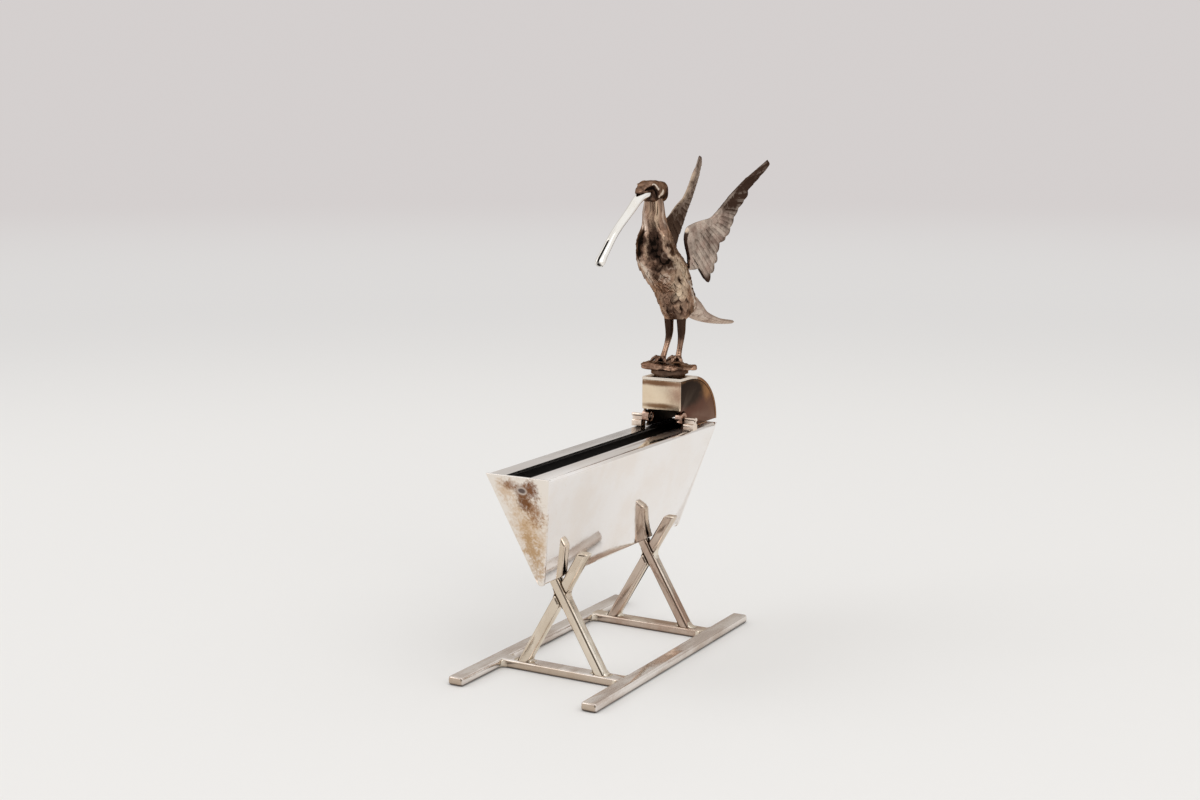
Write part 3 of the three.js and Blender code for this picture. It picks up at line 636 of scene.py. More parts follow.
def finishLid(piece, node, places):
    # Its sheets are painted black on their inner faces, as black tarnish and painted shade: behind the
    # plate, between the cheeks, below the roof
    x, y, z = places.T
    skin, roundX = lidLook["skin"], frontX + lidLook["flat"]
    if node == "lid_front_plate":
        inside = x > frontX + skin
    elif node.startswith("lid_cheek"):
        inside = np.abs(y) < leftY - skin
    else:
        oval = np.hypot((x - roundX) / (backX - roundX), (z - lowZ) / (topZ - lowZ))
        inside = np.where(x > roundX, oval < lidLook["oval"], z < topZ - skin)
    paintVertices(piece, "soot", inside & (np.abs(y) < leftY - lidLook["rim"]))
    if node != "lid_front_plate":
        # They reach down to the rims, and their lowest corners forward to the knuckles
        lowest = z < lowZ + lidLook["low"]
        corner = lowest & (np.abs(x - hingeX) < lidLook["cornerReach"])
        places[:, 2] -= lidLook["drop"] * lowest
        places[:, 0] -= lidLook["corner"] * corner


# The trough is painted black inside, as black tarnish and painted shade, and its soldered seams with the
# end plates are closed
troughLook = dict(slant=math.radians(17.1), skin=0.45 * mm, seam=0.3 * mm, overhang=0.2 * mm,
                  keel=2 * mm)


def finishPlate(piece, node, places):
    # The sides are filed down to the walls
    filed = troughLook["overhang"] / math.cos(troughLook["slant"])
    places[:, 1] -= np.sign(places[:, 1]) * filed * ramp(np.abs(places[:, 1]), 0, troughLook["keel"])


def finishTrough(piece, node, places):
    # Depth below the slanting wall's outer face, and below the rim, tell the inner faces
    slant = troughLook["slant"]
    below = rimZ - places[:, 2]
    depth = (troughHigh.y - np.abs(places[:, 1])) * math.cos(slant) - below * math.sin(slant)
    paintVertices(piece, "soot", (depth > troughLook["skin"]) & (below > troughLook["skin"]))
    middle = (troughLow.x + troughHigh.x) / 2
    places[:, 0] += np.where(places[:, 0] > middle, 1, -1) * troughLook["seam"]


# Solder in the stand's corners: the size of its fillets and where the strips cross
jointLook = dict(sunk=1.1 * mm, step=0.03 * mm, top=2.2 * mm, lean=math.radians(59.8), rows=14, steps=9,
                 crossing=20.83 * mm, half=1.562 * mm, small=1.3 * mm, large=1.5 * mm, buried=0.25 * mm,
                 thinnest=0.02 * mm, wave=1.3 * mm, lowest=0.1 * mm, belowTop=0.12 * mm,
                 barEnd=10 * mm, barTop=1 * mm, near=0.1 * mm, crease=math.radians(50))


def finishBar(piece, node, places):
    # Crossbars run on into the runners, a hair below their tops, and the strips into the crossbars
    if node.startswith("crossbar"):
        end = np.abs(places[:, 1]) > jointLook["barEnd"]
        places[:, 1] += np.sign(places[:, 1]) * jointLook["sunk"] * end
        places[:, 2] -= jointLook["step"] * (places[:, 2] > jointLook["barTop"])
    elif "strip" in node:
        foot = places[:, 2] < jointLook["top"] + jointLook["near"]
        lean = np.sign(places[:, 1]) / math.tan(jointLook["lean"])
        places[:, 1] += foot * lean * jointLook["sunk"]
        places[:, 2] -= foot * jointLook["sunk"]


def filletShell(start, end, first, second, size):
    # A concave fillet along a corner: each section bows from one side to the other, thinner at both ends
    start, end, first, second = (np.asarray(v, float) for v in (start, end, first, second))
    if np.dot(np.cross(first, second), end - start) < 0:
        first, second = second, first
    along = np.linspace(0, 1, jointLook["rows"])
    t = np.linspace(0, 1, jointLook["steps"])[None, :, None]
    spine = start + (end - start) * along[:, None]
    wave = 1 + 0.25 * (cloud(spine, jointLook["wave"]) - 0.5)
    length = size * (1 - (2 * along - 1) ** 6) ** 0.5 * wave + jointLook["thinnest"]
    curve = length[:, None, None] * ((1 - t) ** 2 * first + t**2 * second)
    sunk = jointLook["buried"] * (first + second) / np.linalg.norm(first + second)
    return np.concatenate([spine[:, None, :] + curve, (spine - sunk)[:, None, :]], axis=1)


def addSolder():
    shells = []
    lean, half, small, large = (jointLook[key] for key in ("lean", "half", "small", "large"))
    top, crossing = jointLook["top"], jointLook["crossing"]
    slanting = np.array([0, math.cos(lean), math.sin(lean)])
    for where in ("front", "rear"):
        low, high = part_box("crossbar_" + where)
        for side in (-1, 1):
            for x, along in ((low.x, -1), (high.x, 1)):
                lowest = (x, side * high.y, jointLook["lowest"])
                highest = (x, side * high.y, high.z - jointLook["belowTop"])
                shells.append(filletShell(lowest, highest, (along, 0, 0), (0, -side, 0), large))
        # Feet of the strips on the crossbar, then the corners left, right and below their crossing
        corners = []
        for side in (-1, 1):
            for face in (-1, 1):
                y = side * (crossing - top) / math.tan(lean) + face * half
                corners.append((y, top, (0, face, 0), slanting * (1, -side, 1), small))
            upward, downward = slanting * (1, side, 1), slanting * (1, side, -1)
            corners.append((side * half, crossing, upward, downward, large))
        corners.append((0, crossing - half * math.tan(lean), -slanting, -slanting * (1, -1, 1), small))
        low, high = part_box(where + "_frame_strip_a")
        front, rear = low.x + jointLook["buried"], high.x - jointLook["buried"]
        for y, z, first, second, size in corners:
            shells.append(filletShell((front, y, z), (rear, y, z), first, second, size))
    piece = ringsMesh("solder_fillets", shells)
    piece.data.set_sharp_from_angle(angle=jointLook["crease"])
    finishPiece(piece, silvers["strip"])
    print("solder ready")


# Each silver by its name: its state, and its stains and marks of painted light
silverKinds = dict(
    runner=("runner", ()), strip=("strip", ()), rear=("rear", ()), trough=("trough", troughStainsAndShade),
    plate=("trough", plateStains), hinge=("hinge", ()), knuckle=("knuckle", ()),
    lidPlate=("lid", plateBands), lidRoof=("roof", roofStainsAndReflections), lidCheek=("lid", cheekStainsAndReflections),
    bird=("bird", ()), wing=("wing", ()), beak=("beak", ()),
)
# How the name of the node starts, then the piece's own name, its edge, its silver, its slot and what
# shapes it further
plainKinds = (
    ("runner", "bar_", "bar", "runner", "bar", finishBar),
    ("crossbar_front", "bar_", "bar", "runner", "bar", finishBar),
    ("crossbar_rear", "bar_", "bar", "rear", "bar", finishBar),
    ("front_frame", "bar_", "strip", "strip", "bar", finishBar),
    ("rear_frame", "bar_", "strip", "rear", "bar", finishBar),
    ("end_plate", "sheet_", "plate", "plate", "trough", finishPlate),
    ("trough_sheet", "folded_", "trough", "trough", "trough", finishTrough),
    ("hinge", "turned_", "hinge", "hinge", "hinge", None),
    ("fixing", "turned_", "hinge", "hinge", "hinge", None),
    ("lid_knuckle", "turned_", "hinge", "knuckle", "hinge", None),
    ("lid_front_plate", "sheet_", "lid", "lidPlate", "lid", finishLid),
    ("lid_cheek", "sheet_", "lid", "lidCheek", "lid", finishLid),
    ("lid_back_sheet", "sheet_", "roof", "lidRoof", "lid", finishLid),
)


def addPlainPieces():
    for node in frame["nodes"]:
        for start, prefix, edge, silver, slot, shaping in plainKinds:
            if node.startswith(start):
                segments = edgeLook["fineSegments" if slot == "bar" else "segments"]
                piece = bevelledCopy(prefix + node, node, edgeLook[edge], segments)
                if shaping:
                    places = vertexPlaces(piece)
                    shaping(piece, node, places)
                    piece.data.vertices.foreach_set("co", places.reshape(-1))
                finishPiece(piece, silvers[silver], node)
    print("plain pieces ready")


# Perch: turned disc, dark at its edge and top, and rocky foot plate. The table has the rock's size and
# height over its share.
discLook = dict(wide=0.92, top=0.1 * mm, dark=0.8, bright=0.05)
rockLook = dict(rows=26, around=160, lumps=2.2 * mm, lumpHeight=0.88 * mm)
rockTable = dict(
    share=[0, 0.15, 0.5, 0.8, 0.93, 1],
    size=[0.86, 0.97, 1.0, 0.93, 0.72, 0.05],
    lift=[0, 0.12, 0.45, 0.86, 0.97, 1.0],
)


def addPerch():
    piece = bevelledCopy("turned_perch_disc", "perch_disc", edgeLook["disc"], edgeLook["fineSegments"])
    x, y, z = vertexPlaces(piece).T
    discLow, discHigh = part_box("perch_disc")
    wide = np.hypot(x - (discLow.x + discHigh.x) / 2, y) > discLook["wide"] * discHigh.y
    dark = wide | (z > discHigh.z - discLook["top"])
    paintVertices(piece, "tarnish", np.where(dark, discLook["dark"], discLook["bright"]))
    finishPiece(piece, silvers["bird"], "perch_disc")
    # Rock: rings of a wobbly oval from the foot to a broken top, pushed in and out by soft noise
    middle, half = (rockLow + rockHigh) / 2, (rockHigh - rockLow) / 2
    share, angle = roundGrid(rockLook)
    lobes = 0.90 + 0.07 * np.sin(3 * angle + 0.6) + 0.05 * np.sin(5 * angle + 2.0)
    size, lift = readTable(rockTable, share)
    x = middle.x + half.x * size * lobes * np.cos(angle)
    y = middle.y + half.y * size * lobes * np.sin(angle)
    # The far-left end is a thick lobe, the near-right one thins out
    thick = 0.80 + 0.20 * np.tanh((y - middle.y) / half.y * 1.5)
    rings = grid(x, y, rockLow.z + 2 * half.z * lift * thick)
    lump = cloud(rings, rockLook["lumps"]) - 0.5 + 0.5 * (cloud(rings, 0.45 * rockLook["lumps"]) - 0.5)
    rings = pushOut(rings, lump * rockLook["lumpHeight"] * ramp(share, 0.0, 0.15))
    rings[..., 2] = np.maximum(rings[..., 2], rockLow.z)
    tarnish = 0.08 + 0.6 * ramp(0.12 - lump, 0, 0.4)
    addCast("cast_rock", "rock_base", "bird", [rings], tarnish=[tarnish])


# Legs with scaly shanks and four toes each: a toe's turn from straight ahead, and its millimetres
legLook = dict(rows=70, around=32, toeRows=26, toeAround=16, scute=0.06 * mm, sunk=1.4 * mm, slim=0.97,
               long=1.1, wide=0.92, toeThick=0.62 * mm, toeArch=0.75 * mm, ankle=0.42 * mm,
               toeLift=0.1 * mm)
legTopX = hingeX + 6.0 * mm
legTable = dict(
    height=[0, 0.12, 0.34, 0.50, 0.60, 0.78, 1.0],
    forward=[1, 0.72, 0.26, 0.0, -0.06, -0.02, 0],
    radius=[0.80, 0.62, 0.58, 0.72, 0.84, 0.95, 1.15],
)
toeTable = ((-0.95, 3.5), (-0.05, 3.8), (0.85, 3.4), (math.pi, 2.0))


def addLegs():
    share, angle = roundGrid(legLook)
    for side in ("left", "right"):
        low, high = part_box("leg_" + side)
        middleY, radius = (low.y + high.y) / 2, (high.y - low.y) / 2
        reach = (legTopX + radius) - low.x - 2 * radius * legLook["slim"]
        forward, thick = readTable(legTable, share)
        scutes = legLook["scute"] * np.abs(np.sin(share * 60)) * ramp(0.55 - share, 0, 0.1)
        thick = radius * thick + scutes
        leg = grid(legTopX - reach * forward + thick * np.cos(angle) * legLook["long"],
                   middleY + thick * np.sin(angle) * legLook["wide"],
                   low.z + (high.z + legLook["sunk"] - low.z) * share)
        front = ramp(-np.cos(angle), 0.0, 0.9) * ramp(0.5 - share, 0, 0.2)
        tarnish = 0.45 + 0.7 * ramp(share, 0.35, 0.6) + 0.35 * (cloud(leg, 1.1 * mm) - 0.4) - 0.4 * front
        shells, paint = [leg], [tarnish]
        for turn, length in toeTable:
            toe = toeShell(np.array([legTopX - reach, middleY, low.z]), math.pi + turn, length * mm)
            shells.append(toe)
            paint.append(0.3 + 0.4 * cloud(toe, 0.9 * mm))
        addCast("cast_leg_" + side, "leg_" + side, "bird", shells, tarnish=paint)


def toeShell(foot, heading, length):
    # A toe: rings along an arched line from the ankle down to a hooked claw on the rock
    share = np.linspace(0, 1, legLook["toeRows"])
    arch = legLook["toeArch"] * np.sin(np.pi * np.minimum(share * 1.15, 1))
    arch = arch + legLook["ankle"] * (1 - share)
    knuckles = 1 + 0.14 * np.sin(share * 2 * np.pi * 3)
    thin = curveThrough([0, 0.2, 0.7, 0.85, 1], [1.0, 1.0, 0.8, 0.5, 0.08], share)
    thick = (legLook["toeThick"] * knuckles * thin)[:, None, None]
    angle = ringAngles(legLook["toeAround"])[:, None]
    forward = np.array([math.cos(heading), math.sin(heading), 0])
    across = np.array([math.sin(heading), -math.cos(heading), 0])
    up = np.array([0, 0, 1])
    spine = foot + forward * (length * share)[:, None] + up * (arch + legLook["toeLift"])[:, None]
    return spine[:, None, :] + (across * np.cos(angle) + up * np.sin(angle)) * thick


# Body: level sections of a leaning drop, with rows of feathers that hang down and a streaked neck
bodyLook = dict(rows=308, around=320, length=18.6 * mm, featherRows=13, feathersRound=14,
                relief=0.5 * mm, streak=0.32 * mm, neckRise=2.0 * mm, neckSlim=0.28, round=5.5)
bodyTable = dict(
    height=[0, 0.084, 0.155, 0.248, 0.342, 0.432, 0.523, 0.613, 0.697, 0.755, 0.823, 0.906, 1],
    middle=[0.02, 0.108, 0.065, -0.048, -0.204, -0.328, -0.457, -0.575, -0.624, -0.632, -0.645, -0.672,
            -0.672],
    length=[0.16, 0.366, 0.387, 0.37, 0.45, 0.5, 0.46, 0.35, 0.3, 0.24, 0.19, 0.158, 0.158],
    width=[0.3, 0.37, 0.41, 0.46, 0.49, 0.5, 0.49, 0.47, 0.44, 0.39, 0.32, 0.28, 0.28],
)
# Colour of the body, its tarnish and gold tones with painted highlights and painted shade: lines through
# points given as an angle in degrees and a share of its height, the line's half width in millimetres, how
# dark, golden and pale it is, and the radius of a ring
bodyPaint = (
    (((133, 0.99), (150, 0.88), (160, 0.80)), 1.7, -0.55, 0, 0.4),
    (((188, 0.97), (190, 0.88), (200, 0.80)), 1.0, -0.05, 0.35, 0),
    (((218, 0.99), (225, 0.93), (216, 0.83)), 1.2, -0.35, 0.65, 0),
    (((267, 0.95), (268, 0.85)), 1.5, -0.05, 0, 0.25),
    (((152, 0.76), (156, 0.65), (156, 0.59)), 1.45, 1.4, 0, 0),
    (((181, 0.73), (183, 0.65), (186, 0.58)), 0.45, -0.4, 0.15, 0),
    (((208, 0.79), (213, 0.69), (214, 0.585), (228, 0.53)), 2.2, 1.0, 0, 0),
    (((243, 0.505),), 1.1, 0.5, 0, 0),
    (((256, 0.66), (275, 0.59)), 1.1, 0.5, 0, 0),
    (((229, 0.75), (240, 0.655), (257, 0.565), (280, 0.525)), 0.45, -0.7, 0.25, 0.05),
    (((150, 0.52), (160, 0.49), (172, 0.44), (168, 0.37)), 1.4, -1.0, 0, 0.55),
    (((262, 0.49), (275, 0.46), (278, 0.41), (262, 0.36), (249, 0.305), (232, 0.27), (229, 0.21)),
     1.7, -0.25, 0.8, 0.1),
    (((254, 0.37),), 0.65, 1.0, -0.7, 0),
    (((232, 0.09),), 0.8, 0.9, -0.5, 0),
    (((219, 0.165),), 0.6, 0.6, -0.3, 0),
    (((213, 0.46),), 0.5, 0.5, 0.2, 0),
    (((198, 0.43), (191, 0.335), (185, 0.22), (194, 0.1)), 1.6, 0.2, -0.3, 0),
    (((216, 0.385),), 0.28, -0.5, 0.1, 0.3, 0.9),
    (((243, 0.48),), 0.28, -0.4, 0.1, 0.25, 0.9),
    (((238, 0.575),), 0.26, -0.35, 0, 0.2, 0.9),
    (((284, 0.33), (285, 0.22), (291, 0.1)), 0.8, -0.8, -0.6, 0.7),
    (((296, 0.37), (301, 0.22), (307, 0.1)), 0.4, 1.0, 0, -0.6),
)
bodyWidth = bodyHigh.y - bodyLow.y
bodyTall = bodyHigh.z - bodyLow.z


def bodySurface(share, angle):
    # Point of the smooth body at a share of its height and an angle round it (0 is the tail's side)
    middle, halfLength, halfWidth = readTable(bodyTable, share)
    return grid(legTopX + bodyLook["length"] * (middle + halfLength * np.cos(angle)),
                bodyWidth * halfWidth * np.sin(angle), bodyLow.z + bodyTall * share)


def addBody():
    share, angle = roundGrid(bodyLook)
    rings = bodySurface(share, angle)
    wander = cloud(rings, 5.5 * mm) - 0.5 + 0.35 * (cloud(rings, 1.7 * mm) - 0.5)
    along = (1 - share) * bodyLook["featherRows"] + 8 + 1.5 * wander
    across = angle / (2 * np.pi) * bodyLook["feathersRound"] + 1.3 * wander
    relief, luck = feathers(across, along)
    onNeck = ramp(share + 0.04 * wander, 0.70, 0.80)
    turned = angle * 5 + 0.5 * np.sin(share * 30) + 1.8 * cloud(rings, 2.2 * mm)
    streaks = 0.18 * np.sin(turned * 2.3) + 0.12 * np.sin(turned * 4.1 + 1)
    streaks = streaks + 0.45 * (cloud(rings, 1.5 * mm) - 0.5)
    lumps = cloud(rings, 2.6 * mm) - 0.5
    grains = cloud(rings, 0.55 * mm) - 0.5
    calm = 1 - 0.45 * ramp(share, 0.42, 0.6)
    push = (1 - onNeck) * bodyLook["relief"] * (calm * (relief - 0.55) + 0.9 * lumps + 0.45 * grains)
    push = push + onNeck * bodyLook["streak"] * streaks
    rings = pushOut(rings, push * ramp(share, 0, 0.06))
    # Dark valleys and blotches, then the painted lines with ragged edges
    blotch = 0.6 * cloud(rings, 1.9 * mm) + 0.4 * cloud(rings, 0.8 * mm)
    valley = 0.55 * ramp(0.6 - relief, 0, 0.45) * (0.35 + 0.9 * ramp(cloud(rings, 3.1 * mm), 0.3, 0.7))
    tarnish = (1 - onNeck) * (0.26 + valley + 0.35 * ramp(blotch, 0.48, 0.66) + 0.3 * (luck - 0.5))
    tarnish = tarnish + onNeck * (0.26 + 0.8 * streaks + 0.4 * ramp(share, 0.92, 1.0))
    gold = 0.25 * ramp(cloud(rings, 1.4 * mm), 0.35, 0.65) * (1 - onNeck)
    pale = 0.0
    ragged = 1.32 * (cloud(rings, 1.6 * mm) - 0.5) + 0.84 * (cloud(rings, 0.7 * mm) - 0.5)
    tall = bodyTall / mm
    for points, half, dark, warm, bright, *ring in bodyPaint:
        places = [(math.radians(turn) * bodyLook["round"], height * tall) for turn, height in points]
        hill = lineHill(angle * bodyLook["round"] + ragged, share * tall + ragged, places, half, *ring)
        tarnish = tarnish + dark * hill
        gold = gold + warm * hill
        pale = pale + bright * hill
    # The top of the neck runs up into the head and narrows there
    top = ramp(share, 0.93, 1)
    rings[..., 2] += bodyLook["neckRise"] * top
    rings[..., 1] *= 1 - bodyLook["neckSlim"] * top
    soot = 0.9 * ramp(tarnish, 1.05, 1.6)
    addCast("cast_body", "bird_body", "bird", [rings], tarnish=[tarnish], gold=[gold], pale=[pale],
            soot=[soot])


# Head: rings from the nape to the tip of the visor that juts over the root of the bill
headLook = dict(rows=190, around=200, crown=0.92, ridge=0.40 * mm, socket=0.55 * mm, cheek=0.32 * mm,
                rough=0.3 * mm, full=0.8, flatness=0.45)
headTable = dict(
    forward=[0, 0.02, 0.06, 0.16, 0.30, 0.45, 0.53, 0.60, 0.70, 0.80, 0.90, 0.96, 1.0],
    lift=[-0.06, -0.05, -0.045, -0.03, -0.015, 0.005, 0.05, 0.195, 0.165, 0.095, 0.015, -0.02, -0.04],
    height=[0.37, 0.435, 0.455, 0.47, 0.485, 0.495, 0.45, 0.295, 0.255, 0.185, 0.105, 0.07, 0.02],
    width=[0.38, 0.45, 0.475, 0.49, 0.50, 0.50, 0.49, 0.46, 0.41, 0.33, 0.22, 0.14, 0.04],
)
# On both sides of the head: lines through points given as a share of its length and an angle above its
# middle, with half width in millimetres
headPaint = dict(
    ridge=(((0.65, 0.31), (0.58, 0.29), (0.51, 0.23), (0.455, 0.15)), 0.34),
    socket=(((0.80, 0.04), (0.70, -0.06), (0.60, -0.14), (0.50, -0.14)), 0.62),
    cheek=(((0.43, -0.38), (0.36, -0.20), (0.27, 0.02)), 0.42),
    jaw=(((0.50, -0.62), (0.36, -0.66), (0.20, -0.45), (0.12, -0.1)), 0.7),
)


def addHead():
    length, width, height = headHigh - headLow
    middleZ = (headHigh.z + headLow.z) / 2
    share, angle = roundGrid(headLook)
    lift, halfHeight, halfWidth = readTable(headTable, share)
    # Its sections are fuller than ovals, and the crown is flatter than the throat
    cosine, sine = (np.sign(wave) * np.abs(wave) ** headLook["full"]
                    for wave in (np.cos(angle), np.sin(angle)))
    z = middleZ + height * (lift + halfHeight * sine)
    flat = middleZ + headLook["crown"] * height / 2
    z = np.where(z > flat, flat + headLook["flatness"] * (z - flat), z)
    rings = grid(headHigh.x - length * share, -width * halfWidth * cosine, z)
    # A raised ridge over a black almond hollow and a raised cheek, both pale and warm as worn bright
    # metal with a painted highlight, and a dark jaw and nape
    side = np.arcsin(np.clip(np.sin(angle), -1, 1))
    long, tall = length / mm, 0.45 * height / mm
    ridge, socket, cheek, jaw = (
        lineHill(share * long, side * tall, [(f * long, up * tall) for f, up in points], half)
        for points, half in headPaint.values())
    push = headLook["ridge"] * ridge - headLook["socket"] * socket + headLook["cheek"] * cheek
    push = push + headLook["rough"] * (cloud(rings, 1.1 * mm) - 0.5)
    rings = pushOut(rings, push * ramp(share, 0, 0.1) * ramp(1 - share, 0, 0.1))
    mottle = cloud(rings, 1.3 * mm) - 0.45 + 0.6 * (cloud(rings, 0.6 * mm) - 0.5)
    tarnish = 0.52 + 0.9 * mottle + 0.3 * ramp(-np.sin(angle), -0.1, 0.75) + 0.55 * jaw + 1.5 * socket
    tarnish = tarnish + 0.35 * ramp(0.2 - share, 0, 0.2) + 0.3 * ramp(share, 0.8, 0.95)
    tarnish = tarnish - 1.7 * ramp(ridge, 0.3, 0.7) - 1.5 * ramp(cheek, 0.4, 0.8)
    pale = 0.75 * ramp(ridge, 0.4, 0.8) + 0.6 * ramp(cheek, 0.5, 0.9)
    gold = 0.5 * ramp(ridge + cheek, 0.2, 0.5)
    soot = 0.8 * ramp(tarnish, 1.1, 1.6)
    addCast("cast_head", "bird_head", "bird", [rings], tarnish=[tarnish], gold=[gold], pale=[pale],
            soot=[soot])


# Bill: a round bar carried along a drooping line, forked at its end and grooved along its outer side.
# Its line is in shares of its reach and of its drop.
beakLook = dict(rows=170, around=96, slit=0.15, groove=0.50, fork=0.76, reach=25.1 * mm, drop=15 * mm,
                root=np.array([-10.4 * mm, 0, 58.4 * mm]), inHead=np.array([2.4 * mm, 0, 0.75 * mm]),
                halfHeight=1.0 * mm, shallow=0.10, deep=1.62)
beakLine = ((0, -0.08), (0.1, -0.052), (0.2, 0.022), (0.31, 0.145), (0.44, 0.285), (0.57, 0.42),
            (0.7, 0.577), (0.826, 0.765), (0.93, 0.93), (0.985, 1.02))
beakTable = dict(
    share=[0, 0.06, 0.2, 0.6, 0.9, 0.985, 1],
    thick=[1.15, 1.42, 1.24, 0.98, 1.08, 1.12, 1.0],
)


def addBeak():
    low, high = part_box("bird_beak")
    root = hingePlace + beakLook["root"]
    line = [root + (-beakLook["reach"] * back, 0, -beakLook["drop"] * down) for back, down in beakLine]
    # The line starts a little inside the head
    share, angle = roundGrid(beakLook)
    spine = alongPath([root + beakLook["inHead"], *line], share[:, 0])
    across = np.array([0, -1, 0])
    up = np.cross(directionsOf(spine), across)
    # Section: an oval whose outer side is let in by a groove, which goes nearly through along the fork
    notch = bump(angle, 0.5 * np.pi, beakLook["slit"])
    depth = beakLook["shallow"] * ramp(share, beakLook["groove"], beakLook["groove"] + 0.2)
    depth = depth + beakLook["deep"] * ramp(share, beakLook["fork"], beakLook["fork"] + 0.05)
    thick, = readTable(beakTable, share)
    side = np.cos(angle) * (high.y - low.y) / 2 * thick
    # The two prongs keep their width: the notch's points stay at its walls
    lift = (np.sin(angle) - notch * depth) * beakLook["halfHeight"] * thick
    rings = spine[:, None, :] + across * side[..., None] + up[:, None, :] * lift[..., None]
    # Dark in the notch, with painted shade on the underside below its root, and in a thin line along the
    # inner side
    tarnish = 0.97 * notch**0.5 * np.clip(depth, 0, 1)
    tarnish = tarnish + 0.85 * ramp(-np.sin(angle), 0.1, 0.8) * ramp(0.14 - share, 0, 0.05)
    tarnish = tarnish + 0.5 * bump(angle, math.radians(322), 0.16) * ramp(share, 0.1, 0.2)
    addCast("forked_bill", "bird_beak", "beak", [rings], tarnish=[tarnish])


# Wings: feathers fan out from the arm line to the trailing edge, both lines in millimetres back from
# the root and up from the lowest feather
wingLook = dict(rows=460, across=90, relief=0.195 * mm, quills=17, coverts=0.36, thick=0.95 * mm,
                edge=0.30 * mm, feather=2.1 * mm, bow=0.9 * mm, bowLength=34 * mm, apart=3.8 * mm,
                rise=9.1 * mm, rootShare=0.16)
wingArm = dict(
    right=((2.3, 4.4), (2.1, 7.4), (1.1, 10.1), (0.3, 13.2), (1.4, 15.2), (4.2, 16.2), (8.2, 16.9),
           (12.1, 17.5), (16.4, 20.1), (19.5, 22.5), (23.6, 25.4), (27.6, 28.1)),
    left=((2.3, 4.4), (1.6, 7.7), (0.9, 10.8), (0.2, 14.6), (2.4, 16.2), (4.7, 17.0), (8.1, 18.2),
          (12.6, 20.3), (19.9, 22.8), (23.6, 25.2), (28.4, 28.6)),
)
wingTips = dict(
    right=((3.2, 4.0), (5.2, 4.0), (7.9, 3.8), (9.3, 2.1), (11.2, 0.0), (12.8, 1.8), (14.0, 3.7),
           (15.1, 5.8), (15.6, 8.4), (16.6, 10.3), (18.7, 11.5), (20.5, 13.7), (21.5, 15.7),
           (22.7, 17.9), (24.1, 19.7), (25.8, 21.3), (27.3, 23.0), (27.8, 24.4), (30.1, 26.3),
           (32.2, 28.0), (34.4, 29.8), (36.0, 31.5), (35.1, 32.5)),
    left=((3.2, 4.0), (5.2, 4.0), (7.9, 3.8), (9.3, 2.1), (11.2, 0.0), (12.6, 3.2), (12.4, 7.6),
          (13.4, 10.6), (15.0, 12.3), (16.9, 14.1), (19.0, 16.1), (21.8, 18.6), (25.3, 21.2),
          (27.8, 23.2), (30.8, 25.6), (34.0, 28.3), (35.7, 30.8), (36.2, 32.8), (34.4, 33.5)),
)
wingSet = dict(right=dict(side=-1, flare=math.radians(14), shade=0.3),
               left=dict(side=1, flare=math.radians(8), shade=0.62))


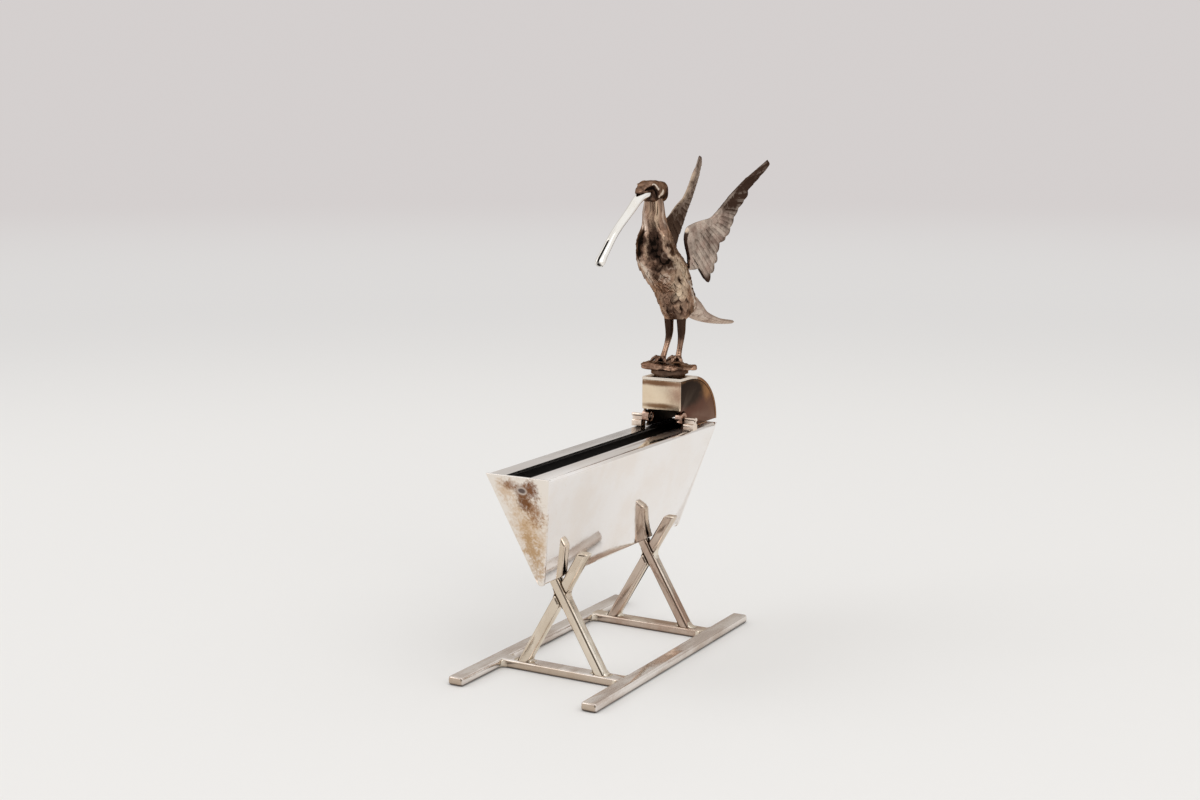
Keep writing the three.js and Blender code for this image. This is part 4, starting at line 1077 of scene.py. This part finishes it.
def addWings():
    for name, place in wingSet.items():
        share = np.linspace(0, 1, wingLook["rows"])[:, None]
        inner = alongPath(np.array(wingArm[name]) * mm, share[:, 0])
        outer = alongPath(np.array(wingTips[name]) * mm, share[:, 0])
        # Outward face from the arm to the tips, then back along the inward face
        there = np.linspace(0, 1, wingLook["across"])
        t = np.r_[there, there[::-1]][None, :]
        face = np.r_[np.ones_like(there), -np.ones_like(there)][None, :]
        # Feather tips: each quill ends in a rounded scallop
        quill = share * wingLook["quills"]
        scallop = 1 - 0.055 * (2 * (quill % 1) - 1) ** 2 * (share < 0.93)
        reach = t * scallop ** ramp(t, 0.5, 1.0)
        flat = inner[:, None, :] + (outer - inner)[:, None, :] * reach[..., None]
        back, up = flat[..., 0], flat[..., 1]
        # Long feathers rise to their leading sides and drop to the next ones; short ones cover the arm
        f = (quill + 0.25 * t**2) % 1
        long = 1.0 - f**0.7 - 0.35 * bump(f, 0.45, 0.06)
        b, u = back / wingLook["feather"], up / wingLook["feather"]
        short, luck = feathers(u + 0.25 * b, b + 0.5 * np.sin(u), 1.5, 11)
        cover = ramp(wingLook["coverts"] - t + 0.06 * np.sin(quill * 5), 0, 0.06)
        relief = cover * (0.45 + 0.75 * short) + (1 - cover) * long
        edge = ramp(t, 0, 0.05) * ramp(1 - t, 0, 0.08)
        rim = ramp(share, 0, 0.015) * ramp(1 - share, 0, 0.03)
        thick = wingLook["edge"] + (wingLook["thick"] / 2 - wingLook["edge"]) * (1 - 0.5 * t)
        off = thick * (edge * 0.7 + 0.3) * (0.35 + 0.65 * rim)
        off = face * (off + wingLook["relief"] * (relief - 0.4) * edge * rim)
        cosine, sine = math.cos(place["flare"]), math.sin(place["flare"])
        bow = wingLook["bow"] * np.sin(np.pi * np.clip(back / wingLook["bowLength"], 0, 1))
        x = legTopX - wingLook["rootShare"] * bodyLook["length"] + back * cosine - off * sine
        y = place["side"] * (back * sine - bow + wingLook["apart"] + off * cosine)
        rings = grid(x, y, bodyLow.z + wingLook["rise"] + up)
        if name == "left":
            rings, relief, t, face, up = (values[:, ::-1] for values in (rings, relief, t, face, up))
        # Dark valleys, tips and mottles, painted shade on the inward face, and the lowest feather
        low = up / mm
        mottle = 0.5 * cloud(rings, 1.7 * mm) + 0.5 * cloud(rings, 0.6 * mm)
        tarnish = 0.32 * ramp(0.42 - relief, 0, 0.4) + 0.4 * ramp(t, 0.86, 1.0)
        tarnish = tarnish + 0.22 * ramp(mottle, 0.45, 0.7) + 0.3 * (cloud(rings, 2.5 * mm) - 0.35)
        tarnish = tarnish + 0.3 * ramp(cloud(rings, 3.4 * mm), 0.45, 0.8) + 0.5 * ramp(3.2 - low, 0, 2.5)
        shade = place["shade"] * ramp(-face, -0.5, 0.5)
        if name == "left":
            # The far wing's painted shade on its inward face fades towards its top, and a painted
            # highlight in a gold tone runs along its arm
            tarnish = tarnish + shade * (1 - 0.75 * ramp(low, 20, 30)) + 0.75 * ramp(0.6 - share, 0, 0.35)
            gold = 0.5 * ramp(0.16 - t, 0, 0.1) * ramp(share, 0.3, 0.5)
        else:
            # The near wing is darker at its top, with a black line along its inner edge
            line = ramp(0.075 - t, 0, 0.02) * ramp(low, 6, 7.5) * ramp(14.6 - low, 0, 1.2)
            high = ramp(low, 17, 22) * (0.75 - 0.15 * ramp(0.1 - t, 0, 0.1))
            tarnish = tarnish + shade + high + 1.2 * line
            gold = 0.6 * ramp(0.06 - t, 0, 0.02) * bump(low, 14.4, 0.4)
        addCast("chased_wing_" + name, "wing_" + name, "wing", [rings], tarnish=[tarnish], gold=[gold])


# Tail: a bundle of long feathers that flows out of the rump and flattens towards its end.
# Back and down from the root, half width and half thickness, in shares of its length
tailLook = dict(rows=190, around=120, length=30 * mm, quills=3.5, ridge=0.26 * mm, barb=0.035 * mm,
                tuft=0.4 * mm, uneven=0.5 * mm, rootShare=0.27, rise=3.9 * mm)
tailTable = dict(
    share=np.linspace(0, 1, 8),
    back=[-0.05, 0, 0.18, 0.32, 0.57, 0.80, 0.93, 1.0],
    drop=[-0.03, 0, 0.073, 0.147, 0.217, 0.253, 0.268, 0.273],
    width=[0.08, 0.1, 0.097, 0.1, 0.11, 0.092, 0.062, 0.02],
    thick=[0.115, 0.12, 0.088, 0.05, 0.028, 0.02, 0.015, 0.008],
)


def addTail():
    share, angle = roundGrid(tailLook)
    rootX = legTopX + tailLook["rootShare"] * bodyLook["length"]
    root = np.array([rootX, 0, bodyLow.z + tailLook["rise"]])
    back, drop, width, thick = (tailLook["length"] * row for row in readTable(tailTable, share))
    spine = root + np.hstack([back, 0 * back, -drop])
    sideways = np.array([0, 1, 0])
    up = np.cross(directionsOf(spine), sideways)
    across, upper = np.cos(angle), np.sin(angle)
    quills = np.abs(np.sin(across * tailLook["quills"] * np.pi + 0.4)) ** 0.6
    clear = ramp(share, 0.25, 0.45)
    barbs = tailLook["barb"] * np.sin((share * 70 - np.abs((across * 3.5) % 1 - 0.5) * 5) * 2 * np.pi)
    short, luck = feathers(angle / (2 * np.pi) * 9, share * 14 + 4, 1.6, 21)
    push = clear * (tailLook["ridge"] * (quills - 0.6) + barbs)
    push = push + (1 - clear) * tailLook["tuft"] * (short - 0.5)
    push = push * np.abs(upper) ** 0.3 * ramp(1 - share, 0, 0.08)
    lift = thick * upper + push * np.sign(upper)
    rings = spine[:, None, :] + sideways * (width * across)[..., None] + up[:, None, :] * lift[..., None]
    # Feather ends are uneven
    rings[..., 0] += tailLook["uneven"] * quills * ramp(share, 0.85, 1.0)
    tarnish = 0.55 * ramp(0.5 - quills, 0, 0.4) * clear + 0.3 * (cloud(rings, 2.4 * mm) - 0.4)
    tarnish = tarnish + (1 - clear) * 0.6 * ramp(0.6 - short, 0, 0.35)
    addCast("chased_tail", "bird_tail", "wing", [rings], tarnish=[tarnish])


addCamera()
addStage()
for name, (kind, stains) in silverKinds.items():
    silvers[name] = silverMaterial(name + "Silver", kind, stains)
addPlainPieces()
addSolder()
addPerch()
addLegs()
addBody()
addHead()
addBeak()
addWings()
addTail()
